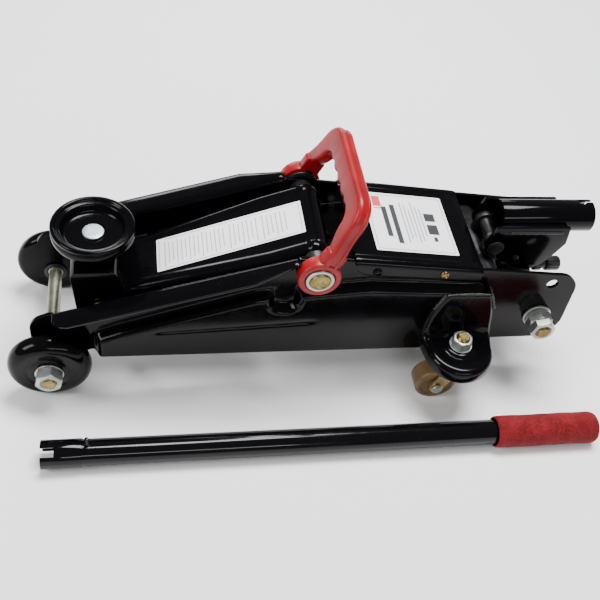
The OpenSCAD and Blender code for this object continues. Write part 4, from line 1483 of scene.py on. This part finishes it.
@dataclass
class CarryHandle:
    """The moulded carrying handle: two bosses on the shaft, legs with a groove, and a grip band."""

    pivot: Flat = SHAFT
    lean: float = 24.0
    inner: float = 48.7
    outer: float = 59.5
    top: float = 67.8
    band: float = 17.8
    thick: float = 12.0

    def place(self, across: float, y: float, up: float) -> Point:
        """Turns a point of the upright handle into the jack's space."""
        c, s = math.cos(math.radians(self.lean)), math.sin(math.radians(self.lean))
        return (self.pivot[0] + across * c + up * s, y, self.pivot[1] - across * s + up * c)

    def stations(self) -> list[tuple[Flat, Flat, float]]:
        """Gives outer and inner edge points and the thickness, from one boss over to the other."""
        half = []
        for u in (2, 8, 14, 20, 24):
            half.append(((self.outer, u), (self.inner, u), 13.0))
        half.append(((self.outer - 1.2, 29), (self.inner - 2.4, 26), 12.6))
        half.append(((self.outer - 3.0, 36), (43.4, 30), self.thick))
        half.append(((self.outer - 4.6, 43.5), (41.0, 34), self.thick))
        outs = arc(36, self.top - 18, 18, 6, 88, 11)
        ins = arc(27, self.top - self.band - 12, 12, 2, 86, 11)
        half += [(o, i, self.thick) for o, i in zip(outs, ins)]
        for y in spaced(25, 0, 37):
            ripple = 1.9 * (0.5 + 0.5 * math.cos(2 * math.pi * y / 13.5)) ** 0.8
            fade = smooth((28 - y) / 5)
            half.append(((y * 1.3, self.top), (y, self.top - self.band - ripple * fade), self.thick))
        back = [((-o[0], o[1]), (-i[0], i[1]), t) for o, i, t in reversed(half[:-1])]
        return half + back

    def loop(self, width: float, thick: float) -> list[Flat]:
        """Gives the bar's section: a rounded box with a shallow groove along its outer face."""
        r = min(3.4, thick / 2 - 0.4)
        w, t = width / 2, thick / 2
        out: list[Flat] = []
        for cx, cy, a0 in (
            (w - r, t - r, 0), (-w + r, t - r, 90), (-w + r, -t + r, 180), (w - r, -t + r, 270),
        ):
            out += arc(cx, cy, r, a0, a0 + 90, 6)
        groove = [
            (w, -2.9), (w - 0.2, -2.5), (w - 1.0, -2.0), (w - 1.1, 0), (w - 1.0, 2.0), (w - 0.2, 2.5),
            (w, 2.9),
        ]
        return [(a + w, b) for a, b in out + groove]

    def bar(self) -> bpy.types.Object:
        """Lofts the legs and the grip band."""
        rows = []
        for (oy, ou), (iy, iu), thick in self.stations():
            span = math.hypot(oy - iy, ou - iu)
            ny, nu = (oy - iy) / span, (ou - iu) / span
            rows.append([self.place(b, iy + ny * a, iu + nu * a) for a, b in self.loop(span, thick)])
        return to_object("bar", capped(grid_sheet(rows, closed=True)), 40)

    def boss(self) -> bpy.types.Object:
        """Turns the right-hand boss with its counterbore."""
        r = 16.5
        profile = [
            (8.1, self.inner + 0.3), (8.4, self.inner), (r - 1, self.inner), (r - 0.3, self.inner + 0.3),
        ]
        profile += [(r, self.inner + 1), (r, self.outer - 1.6), (r - 0.4, self.outer - 0.6)]
        profile += [(r - 1.4, self.outer), (12.3, self.outer), (11.6, self.outer - 0.4)]
        profile += [(11.2, self.outer - 1.2), (11.2, self.outer - 2.6), (8.1, self.outer - 2.6)]
        profile.append(profile[0])
        return turned("boss", profile, (self.pivot[0], 0, self.pivot[1]), Axis.Y, 96, 40)

    def step(self) -> bpy.types.Object:
        """Builds the wider tab where the right-hand leg meets its boss."""
        bm = bmesh.new()
        corners = [(-8.4, 8), (8.4, 8), (8.4, 24.5), (6.9, 26.6), (-6.9, 26.6), (-8.4, 24.5)]
        rings = [[bm.verts.new(self.place(a, y, u)) for a, u in corners] for y in (self.inner + 0.05, 57.0)]
        bm.faces.new(rings[0])
        bm.faces.new(list(reversed(rings[1])))
        for i in range(6):
            j = (i + 1) % 6
            bm.faces.new((rings[0][i], rings[0][j], rings[1][j], rings[1][i]))
        return bevelled(to_object("step", bm), 0.9, 3)

    def build(self) -> None:
        """Builds the handle as one moulding."""
        boss, step = self.boss(), self.step()
        parts = [self.bar(), boss, mirrored(boss, "boss_left"), step, mirrored(step, "step_left")]
        handle = joined("carry_handle_moulding", parts)
        fit_out(paint(handle, Look.RED_ABS), "carry_handle", "red_plastic", "carry_handle")


@dataclass
class ShaftEnds:
    """The lift arm's shaft with the washers and rings that show beside the handle's bosses."""

    x: float = SHAFT[0]
    z: float = SHAFT[1]

    def build(self) -> None:
        """Builds the shaft, its rings and its washers."""
        half = [(8.0, 0.0), (8.0, 60.6), (7.6, 61.4), (6.9, 61.8), (5.6, 61.95), (5.2, 61.6), (0.001, 61.6)]
        profile = both_ways(half)
        shaft = turned("lift_arm_shaft_turned", profile, (self.x, 0, self.z), Axis.Y, 64)
        fit_out(paint(shaft, Look.STRAW), "frame", "yellow_zinc", "lift_arm_shaft")
        for side, name in ((1, "right"), (-1, "left")):
            profile = [
                (8.15, 57.5), (10.5, 57.5), (10.8, 57.8), (10.8, 59.7), (10.4, 60.3), (8.5, 60.3),
                (8.15, 60.0),
            ]
            profile.append(profile[0])
            ring = turned(
                f"shaft_ring_{name}", [(r, side * h) for r, h in profile], (self.x, 0, self.z), Axis.Y, 64,
            )
            nodes = ("shaft_rings",) if side > 0 else ()
            fit_out(paint(ring, Look.ZINC), "frame", "bright_zinc", *nodes)
        washers = softened("shaft_washers", Look.CASTING, 0.3)
        fit_out(washers, "frame", "satin_black_paint", "shaft_washers")


# ---------------------------------------------------------------- power unit and springs


@dataclass
class PowerUnit:
    """The hydraulic unit under the cover, the pump socket over it and the two springs."""

    valve_z: float = 81.0

    def knob(self) -> bpy.types.Object:
        """Turns the release valve's stem and its fluted knob, with a shallow round recess in its end."""
        profile = [
            (0.001, 197.4), (4.4, 197.4), (4.9, 197.9), (5, 207.5), (4.2, 208), (4, 208.6), (4, 215.8),
        ]
        profile += [(5.4, 216), (6.2, 216.8), (6.2, 222.2), (5.4, 223), (4.6, 223.2), (4.6, 226.8)]
        profile += [
            (5.6, 227), (6.4, 227.9), (6.4, 239), (5.7, 239.9), (2.0, 239.95), (1.6, 238.4), (0.001, 238.4),
        ]

        def fluted(r: float, h: float, a: float) -> float:
            """Cuts sixteen shallow flutes into the knob's two collars."""
            if r < 5.3 or not (216 < h < 240):
                return r
            return r - 0.38 * (0.5 - 0.5 * math.cos(16 * a)) ** 2

        return turned("valve_knob", profile, (0, 0, self.valve_z), Axis.X, 96, 40, fluted)

    def coil(
        self, name: str, tree, turns: float, length: float, radius: float, wire: float,
    ) -> bpy.types.Object:
        """Winds one spring that stands on the origin along Z."""
        empty = bpy.data.meshes.new(name)
        values = {"Turns": turns, "Radius": radius * MM, "Length": length * MM, "Wire": wire * MM}
        return run_tree(name, empty, tree, values, Look.WIRE)

    def hook(self, name: str, path: Sequence[Point], wire: float) -> bpy.types.Object:
        """Bends a length of the spring's wire along a path."""
        rows = []
        for i, p in enumerate(path):
            a, b = Vector(path[max(i - 1, 0)]), Vector(path[min(i + 1, len(path) - 1)])
            way = (b - a).normalized()
            side = way.cross(Vector((0, 0, 1)))
            side = Vector((0, 1, 0)) if side.length < 0.05 else side.normalized()
            over = side.cross(way)
            rows.append(
                [
                    tuple(Vector(p) + wire * (side * math.cos(t) + over * math.sin(t)))
                    for t in spaced(0, 2 * math.pi * 9 / 10, 10)
                ]
            )
        return to_object(name, capped(grid_sheet(rows, closed=True)), 60)

    def springs(self) -> None:
        """Builds the two return springs and the plunger's spring."""
        tree = coil_tree(Look.WIRE)
        parts = []
        for side in (-1, 1):
            made = self.coil("return_coil", tree, 40.0, 66.4, 3.7, 0.7)
            for v in made.data.vertices:
                x, y, z = v.co
                v.co = JACK.at(52.8, side * 33, 80) + Vector((z, y, -x))
            parts.append(made)
            for start, end in ((35.0, 53.0), (119.0, 127.0)):
                path = [
                    (start + (end - start) * t, side * 33, 80 + 0.4 * math.sin(t * math.pi))
                    for t in spaced(0, 1, 6)
                ]
                parts.append(paint(self.hook("hook", path, 0.7), Look.WIRE))
        pair = joined("return_spring_pair", parts)
        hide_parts("return_springs")
        JACK.at(36, 0, 80)
        JACK.at(127, 0, 80)
        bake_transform(pair)
        low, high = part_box("plunger_spring")
        middle = (low + high) / 2
        coil = self.coil("plunger_coil", tree, 6.0, (high.z - low.z) / MM - 1.5, 6.5, 0.72)
        for v in coil.data.vertices:
            v.co += Vector((middle.x, middle.y, low.z + 0.75 * MM))
        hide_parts("plunger_spring")
        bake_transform(coil)

    def build(self) -> None:
        """Builds the power unit's pieces."""
        rows = (
            ("pump_block", "frame", Look.CASTING, "satin_black_paint", 1.2),
            ("oil_cylinder", "frame", Look.CASTING, "satin_black_paint", 0.8),
            ("oil_reservoir", "frame", Look.CASTING, "satin_black_paint", 0.8),
            ("cylinder_gland", "frame", Look.ZINC, "bright_zinc", 0.4),
            ("oil_filler_plug", "frame", Look.BLACK_NYLON, "black_plastic", 0.4),
            ("pump_barrel", "frame", Look.ZINC, "bright_zinc", 0.4),
            ("frame_cross_tube", "frame", Look.CASTING, "satin_black_paint", 0.4),
            ("bolt_spacers", "frame", Look.CASTING, "satin_black_paint", 0.4),
            ("link_anchor_pins", "frame", Look.ZINC, "bright_zinc", 0.5),
            ("socket_pin", "frame", Look.CASTING, "satin_black_paint", 0.4),
            ("ram", "ram", Look.CHROME, "chromed_rod", 0.5),
            ("ram_crosshead", "ram", Look.CASTING, "satin_black_paint", 0.6),
            ("socket_roller", "handle_socket", Look.CASTING, "satin_black_paint", 0.4),
            ("pump_plunger", "pump_plunger", Look.CHROME, "chromed_rod", 0.4),
        )
        for node, body, look, slot, edge in rows:
            fit_out(softened(node, look, edge), body, slot, node)
        socket = softened("handle_socket", Look.ENAMEL, 0.7, 3)
        fit_out(socket, "handle_socket", "gloss_black_paint", "handle_socket")
        knob = paint(self.knob(), Look.BLACK_NYLON)
        fit_out(knob, "release_valve", "black_plastic", "release_valve")
        self.springs()


@dataclass
class FrameFasteners:
    """The long rear bolt with its nuts, and the cover's small screws."""

    x: float = 209.0
    z: float = 66.8

    def build(self) -> None:
        """Builds the bolt, nuts and screws."""
        stud = [(5.6, -45), (6, -45.3), (6, -59)]
        stud += threaded(-59, -67.4, 6, 1.25, 0.55)
        profile = [(0.001, 53.4), (5.4, 53.4), (6, 52.8), (6, -45)] + stud[1:]
        rod = turned("rear_bolt_rod", profile, (self.x, 0, self.z), Axis.Y, 48, 30)
        paint(rod, Look.STRAW)
        head = set_fasteners(
            "rear_bolt_head", HexNut(19, 7.3, 6.05, 0.5), [((self.x, 46.2, self.z), (0, 1, 0))], Look.ZINC,
            8,
        )
        fit_out(joined("rear_frame_bolt_made", [rod, head]), "frame", "bright_zinc", "rear_frame_bolt")
        seats = [((self.x, -48.8, self.z), (0, -1, 0)), ((self.x, -59.2, self.z), (0, -1, 0))]
        nuts = set_fasteners("rear_nut_pair", HexNut(19, 6.7, 6.1, 0.5), seats[1:], Look.ZINC, 12)
        inner = set_fasteners("rear_nut_inner", HexNut(19, 10.1, 6.1, 0.5), seats[:1], Look.ZINC, 35)
        washer = turned(
            "rear_washer",
            [
                (6.15, -46.3), (11.7, -46.3), (12, -46.6), (12, -48.2), (11.6, -48.6), (6.15, -48.6),
                (6.15, -46.3),
            ],
            (self.x, 0, self.z), Axis.Y,
        )
        paint(washer, Look.ZINC)
        fit_out(
            joined("rear_frame_nut_made", [nuts, inner, washer]), "frame", "bright_zinc", "rear_frame_nut",
        )
        heads = []
        for side in (-1, 1):
            for x, z in ((113, 120), (58, 124)):
                y = side * 48.3
                profile = [
                    (0.001, y - side * 7), (1.7, y - side * 7), (1.7, y), (3.5, y), (3.6, y + side * 0.25),
                ]
                profile += [(3.3, y + side * 1.1), (2.4, y + side * 1.9), (1.9, y + side * 2.1)]
                profile += [(1.5, y + side * 1.2), (0.001, y + side * 1.2)]
                look = Look.STRAW if x > 100 else Look.ENAMEL
                heads.append(paint(turned("screw", profile, (x, 0, z), Axis.Y, 40), look))
        fit_out(joined("cover_screw_set", heads), "frame", "yellow_zinc", "cover_screws")
        fit_out(softened("cover_nuts", Look.STRAW, 0.3), "frame", "yellow_zinc", "cover_nuts")


@dataclass
class Welds:
    """Weld beads where the casters' wings and the pump socket are joined on."""

    def bead(self, name: str, paths: Sequence[Sequence[Point]], size_mm: float, body: str) -> None:
        """Lays one bead along each path.

        Args:
            name: The piece's name.
            paths: Each bead's path in jack millimetres.
            size_mm: The drops' radius.
            body: The body that the beads ride on.
        """
        mesh = bpy.data.meshes.new(name)
        points: list[Point] = []
        edges: list[tuple[int, int]] = []
        for path in paths:
            start = len(points)
            points += [tuple(JACK.at(*p)) for p in path]
            edges += [(start + i, start + i + 1) for i in range(len(path) - 1)]
        mesh.from_pydata(points, edges, [])
        values = {"Step": size_mm * 0.62 * MM, "Size": size_mm * MM}
        made = run_tree(name, mesh, weld_tree(Look.WELD), values, Look.WELD)
        fit_out(made, body, "gloss_black_paint")

    def build(self) -> None:
        """Lays all the beads."""
        slant = [(19.6 + 5.6 * t, 55.3 + 0.8 * t, 103 - 14 * t) for t in spaced(0, 1, 6)]
        wings = []
        for s in (-1, 1):
            wings.append([(x, s * 55.6, 104.2 - 0.004 * (x - 136) ** 2) for x in spaced(119, 153, 14)])
            wings += [[(136 + e * x, s * y, z) for x, y, z in slant] for e in (-1, 1)]
        self.bead("wing_weld_beads", wings, 1.5, "frame")
        seams = [[(x, s * 19.4, 136.4) for x in spaced(172, 216, 16)] for s in (-1, 1)]
        self.bead("socket_weld_beads", seams, 1.2, "handle_socket")


# ---------------------------------------------------------------- lever


@dataclass
class Lever:
    """The loose pump lever, lying on the floor, with a foam grip on one end."""

    y: float = -125.0
    z: float = 11.0
    start: float = -195.0
    length: float = 450.0
    grip: float = 90.0
    grip_r: float = 13.4

    def foam(self) -> bpy.types.Object:
        """Turns the foam grip, soft and uneven, and presses it flat where it lies."""
        end = self.start + self.length
        x0 = end - self.grip
        profile = [(11.15, x0 + 0.6), (11.4, x0 + 0.1), (12.2, x0), (12.9, x0 + 0.5), (13.25, x0 + 1.5)]
        profile += [(self.grip_r, x) for x in spaced(x0 + 3, end - 6, 60)]
        profile += [
            (13.2, end - 4.2), (12.7, end - 2.6), (11.8, end - 1.3), (10.6, end - 0.5), (9, end - 0.2),
        ]
        profile += [(4, end - 0.1), (0.001, end - 0.3)]

        def pressed(r: float, h: float, a: float) -> float:
            """Dents the foam softly and keeps it off the floor."""
            point = Vector((h * 0.09, math.cos(a) * 1.1, math.sin(a) * 1.1))
            soft = 0.32 * noise.noise(point) + 0.10 * noise.noise(point * 4)
            if r > 12:
                r = min(r - 0.28 + soft, 13.45)
            down = -math.sin(a)
            return min(r, (self.z - 0.02) / down) if down > 0.2 else r

        return turned("lever_grip_foam", profile, (0, self.y, self.z), Axis.X, 120, 50, pressed)

    def build(self) -> None:
        """Builds the tube, the stub pin and the grip."""
        for node, edge in (("lever_tube", 0.35), ("lever_stub", 0.5)):
            fit_out(softened(node, Look.TUBE_ENAMEL, edge), "lever", "gloss_black_paint", node)
        foam = fit_out(paint(self.foam(), Look.FOAM), "lever", "red_foam", "lever_grip")


# ---------------------------------------------------------------- stickers


@dataclass
class Labels:
    """Two blank-form stickers: a title bar, rules and boxes stand in for any printed words."""

    thick: float = 0.12
    # how far the faces under both stickers are pressed in
    hollow: float = 0.62

    def film(
        self, name: str, outline: Sequence[Flat], height: Callable[[float, float], float],
    ) -> bpy.types.Object:
        """Lays a thin film over a surface, its outline in x and y."""
        bm = bmesh.new()
        low = [bm.verts.new((x, y, height(x, y) + 0.03)) for x, y in outline]
        high = [bm.verts.new((x, y, height(x, y) + 0.03 + self.thick)) for x, y in outline]
        bm.faces.new(list(reversed(low)))
        bm.faces.new(high)
        for i in range(len(low)):
            j = (i + 1) % len(low)
            bm.faces.new((low[i], low[j], high[j], high[i]))
        return to_object(name, bm, 30)

    def bars(
        self, name: str, look: Look, rows: Sequence[tuple[float, float, float, float]],
        height: Callable[[float, float], float], slope: float,
    ) -> bpy.types.Object:
        """Prints thin bars, each given as its middle x, middle y, length in x and width in y."""
        bm = bmesh.new()
        bmesh.ops.create_cube(bm, size=1.0)
        for v in bm.verts:
            v.co = v.co * MM
        unit = bpy.data.meshes.new(name + "_unit")
        bm.to_mesh(unit)
        bm.free()
        bar = add_object(name + "_unit", unit)
        places = [JACK.at(x, y, height(x, y) + self.thick + 0.05) for x, y, _, _ in rows]
        way = Vector((1, 0, slope)).normalized()
        mesh = points_mesh(name, places, [way] * len(rows))
        size = mesh.attributes.new("size", "FLOAT_VECTOR", "POINT")
        size.data.foreach_set("vector", [c for _, _, lx, ly in rows for c in (lx, ly, 0.05)])
        made = run_tree(name, mesh, bar_tree(look), {"Bar": bar}, look)
        bpy.data.objects.remove(bar)
        return made

    def frame_bars(
        self, x0: float, x1: float, half: float, width: float,
    ) -> list[tuple[float, float, float, float]]:
        """Gives the four bars of a sticker's printed frame."""
        middle, length = (x0 + x1) / 2, x1 - x0
        sides = [(middle, s * half, length, width) for s in (-1, 1)]
        return sides + [(x, 0.0, width, 2 * half) for x in (x0, x1)]

    def cover_label(self) -> None:
        """Builds the cover's sticker."""

        def height(x: float, y: float) -> float:
            """Gives the cover's face under the sticker."""
            return TopCover().height(x) - self.hollow

        film = self.film(
            "cover_sticker",
            rounded([(58.9, -33.3), (127.6, -33.3), (127.6, 33.3), (58.9, 33.3)], [1] * 4, 3), height,
        )
        frame_rows = self.frame_bars(61.2, 125.3, 31.0, 0.5)
        grey_rows = [(x, 1.5 * (k % 2), 0.8, 46 - 7 * (k % 3)) for k, x in enumerate(spaced(89, 105, 6))]
        dark_rows = [(74, 0, 4.2, 34), (81.5, -2, 4.2, 44)]
        dark_rows += [(112, 8, 9, 9), (112, -6, 9, 11), (112, -17, 3, 5)]
        red_rows = [(69, 23, 7, 12), (69, 15, 7, 1.2)]
        pieces = [paint(film, Look.VINYL)]
        for name, look, rows in (
            ("frame_ink", Look.PINK_INK, frame_rows), ("grey_ink", Look.GREY_INK, grey_rows),
            ("dark_ink", Look.DARK_INK, dark_rows), ("red_ink", Look.RED_INK, red_rows),
        ):
            pieces.append(self.bars("cover_" + name, look, rows, height, -TopCover().slope))
        fit_out(joined("cover_sticker_printed", pieces), "frame", "gloss_black_paint")

    def arm_label(self) -> None:
        """Builds the lifting arm's sticker."""

        def height(x: float, y: float) -> float:
            """Gives the arm's face under the sticker."""
            return LiftArm().top(x) - self.hollow

        film = self.film(
            "arm_sticker", rounded([(-106.4, -17.4), (5, -17.4), (5, 17.4), (-106.4, 17.4)], [0.8] * 4, 3),
            height,
        )
        # three printed columns of short rules, each rule lying across the arm
        grey_rows = [
            (x, 0.6 * (k % 3 - 1), 0.6, 26 - 3 * (k % 3))
            for first, last, count in ((-100, -55, 15), (-50, -30, 7), (-25, -8, 6))
            for k, x in enumerate(spaced(first, last, count))
        ]
        pieces = [paint(film, Look.VINYL)]
        for name, look, rows in (
            ("frame_ink", Look.PINK_INK, self.frame_bars(-104.4, 3, 15.6, 0.45)),
            ("grey_ink", Look.GREY_INK, grey_rows),
        ):
            pieces.append(self.bars("arm_" + name, look, rows, height, LiftArm().slope))
        fit_out(joined("arm_sticker_printed", pieces), "lift_arm", "gloss_black_paint")

    def build(self) -> None:
        """Builds both stickers."""
        self.cover_label()
        self.arm_label()


# ---------------------------------------------------------------- studio


@dataclass
class Studio:
    """A pale floor, soft area lights and the camera."""

    target: Point = (21.03, 17.04, 17.85)
    azimuth: float = -16.41
    elevation: float = 47.93
    roll: float = 11.27
    distance: float = 764.43
    lens: float = 51.24

    def floor(self) -> None:
        """Lays a large pale floor."""
        mesh = bpy.data.meshes.new("studio_floor")
        half = 4.0
        mesh.from_pydata(
            [(-half, -half, 0), (half, -half, 0), (half, half, 0), (-half, half, 0)], [], [(0, 1, 2, 3)],
        )
        mat = bpy.data.materials.new("studio_paper")
        mat.use_nodes = True
        shader = mat.node_tree.nodes["Principled BSDF"]
        shader.inputs["Base Color"].default_value = grey(0.97)
        shader.inputs["Roughness"].default_value = 0.75
        mesh.materials.append(mat)
        add_object("studio_floor", mesh)

    def light(self, name: str, place: Point, aim: Point, size: Flat, power: float) -> None:
        """Hangs one soft area light, in metres, facing its aim."""
        lamp = bpy.data.lights.new(name, "AREA")
        lamp.shape = "RECTANGLE"
        lamp.size, lamp.size_y = size
        lamp.energy = power
        obj = bpy.data.objects.new(name, lamp)
        bpy.context.scene.collection.objects.link(obj)
        obj.location = place
        obj.rotation_euler = (Vector(aim) - Vector(place)).to_track_quat("-Z", "Y").to_euler()

    def camera(self) -> None:
        """Sets the camera where the reference view is taken from."""
        az, el, roll = (math.radians(v) for v in (self.azimuth, self.elevation, self.roll))
        back = Vector((math.sin(az) * math.cos(el), -math.cos(az) * math.cos(el), math.sin(el)))
        level = Vector((math.cos(az), math.sin(az), 0))
        upright = back.cross(level)
        right = level * math.cos(roll) + upright * math.sin(roll)
        up = upright * math.cos(roll) - level * math.sin(roll)
        lens = bpy.data.cameras.new("camera")
        lens.lens = self.lens
        lens.sensor_width = 36.0
        lens.clip_start = 0.01
        obj = bpy.data.objects.new("camera", lens)
        bpy.context.scene.collection.objects.link(obj)
        turn = obj.matrix_world.to_3x3()
        turn.col[0], turn.col[1], turn.col[2] = right, up, back
        obj.rotation_euler = turn.to_euler()
        obj.location = JACK.at(*self.target) + back * self.distance * MM
        bpy.context.scene.camera = obj

    def build(self) -> None:
        """Builds the floor, the lights, the dim surroundings and the camera."""
        self.floor()
        self.camera()
        self.light("overhead_softbox", (0.25, 0.35, 1.5), (0.05, 0.0, 0.05), (0.9, 0.5), 50)
        self.light("left_softbox", (-1.3, -0.3, 0.9), (0.0, 0.0, 0.08), (0.5, 0.7), 15)
        self.light("front_strip", (0.3, -1.4, 0.75), (0.0, 0.0, 0.06), (1.2, 0.12), 7)
        self.light("rear_strip", (0.0, 1.3, 0.6), (0.0, 0.0, 0.1), (1.2, 0.16), 9)
        world = bpy.data.worlds.new("surroundings")
        world.use_nodes = True
        world.node_tree.nodes["Background"].inputs["Color"].default_value = grey(1.0)
        world.node_tree.nodes["Background"].inputs["Strength"].default_value = 0.24
        bpy.context.scene.world = world


def main() -> None:
    """Builds every sub-assembly, the stickers and the studio."""
    logging.basicConfig(level=logging.INFO, format="%(name)s %(message)s")
    for assembly in (
        SidePlates(), TopCover(), LiftArm(), Saddle(), FrontWheels(), Casters(), CarryHandle(), ShaftEnds(),
        PowerUnit(), FrameFasteners(), Welds(), Lever(), Labels(), Studio(),
    ):
        assembly.build()


if __name__ == "__main__":
    main()
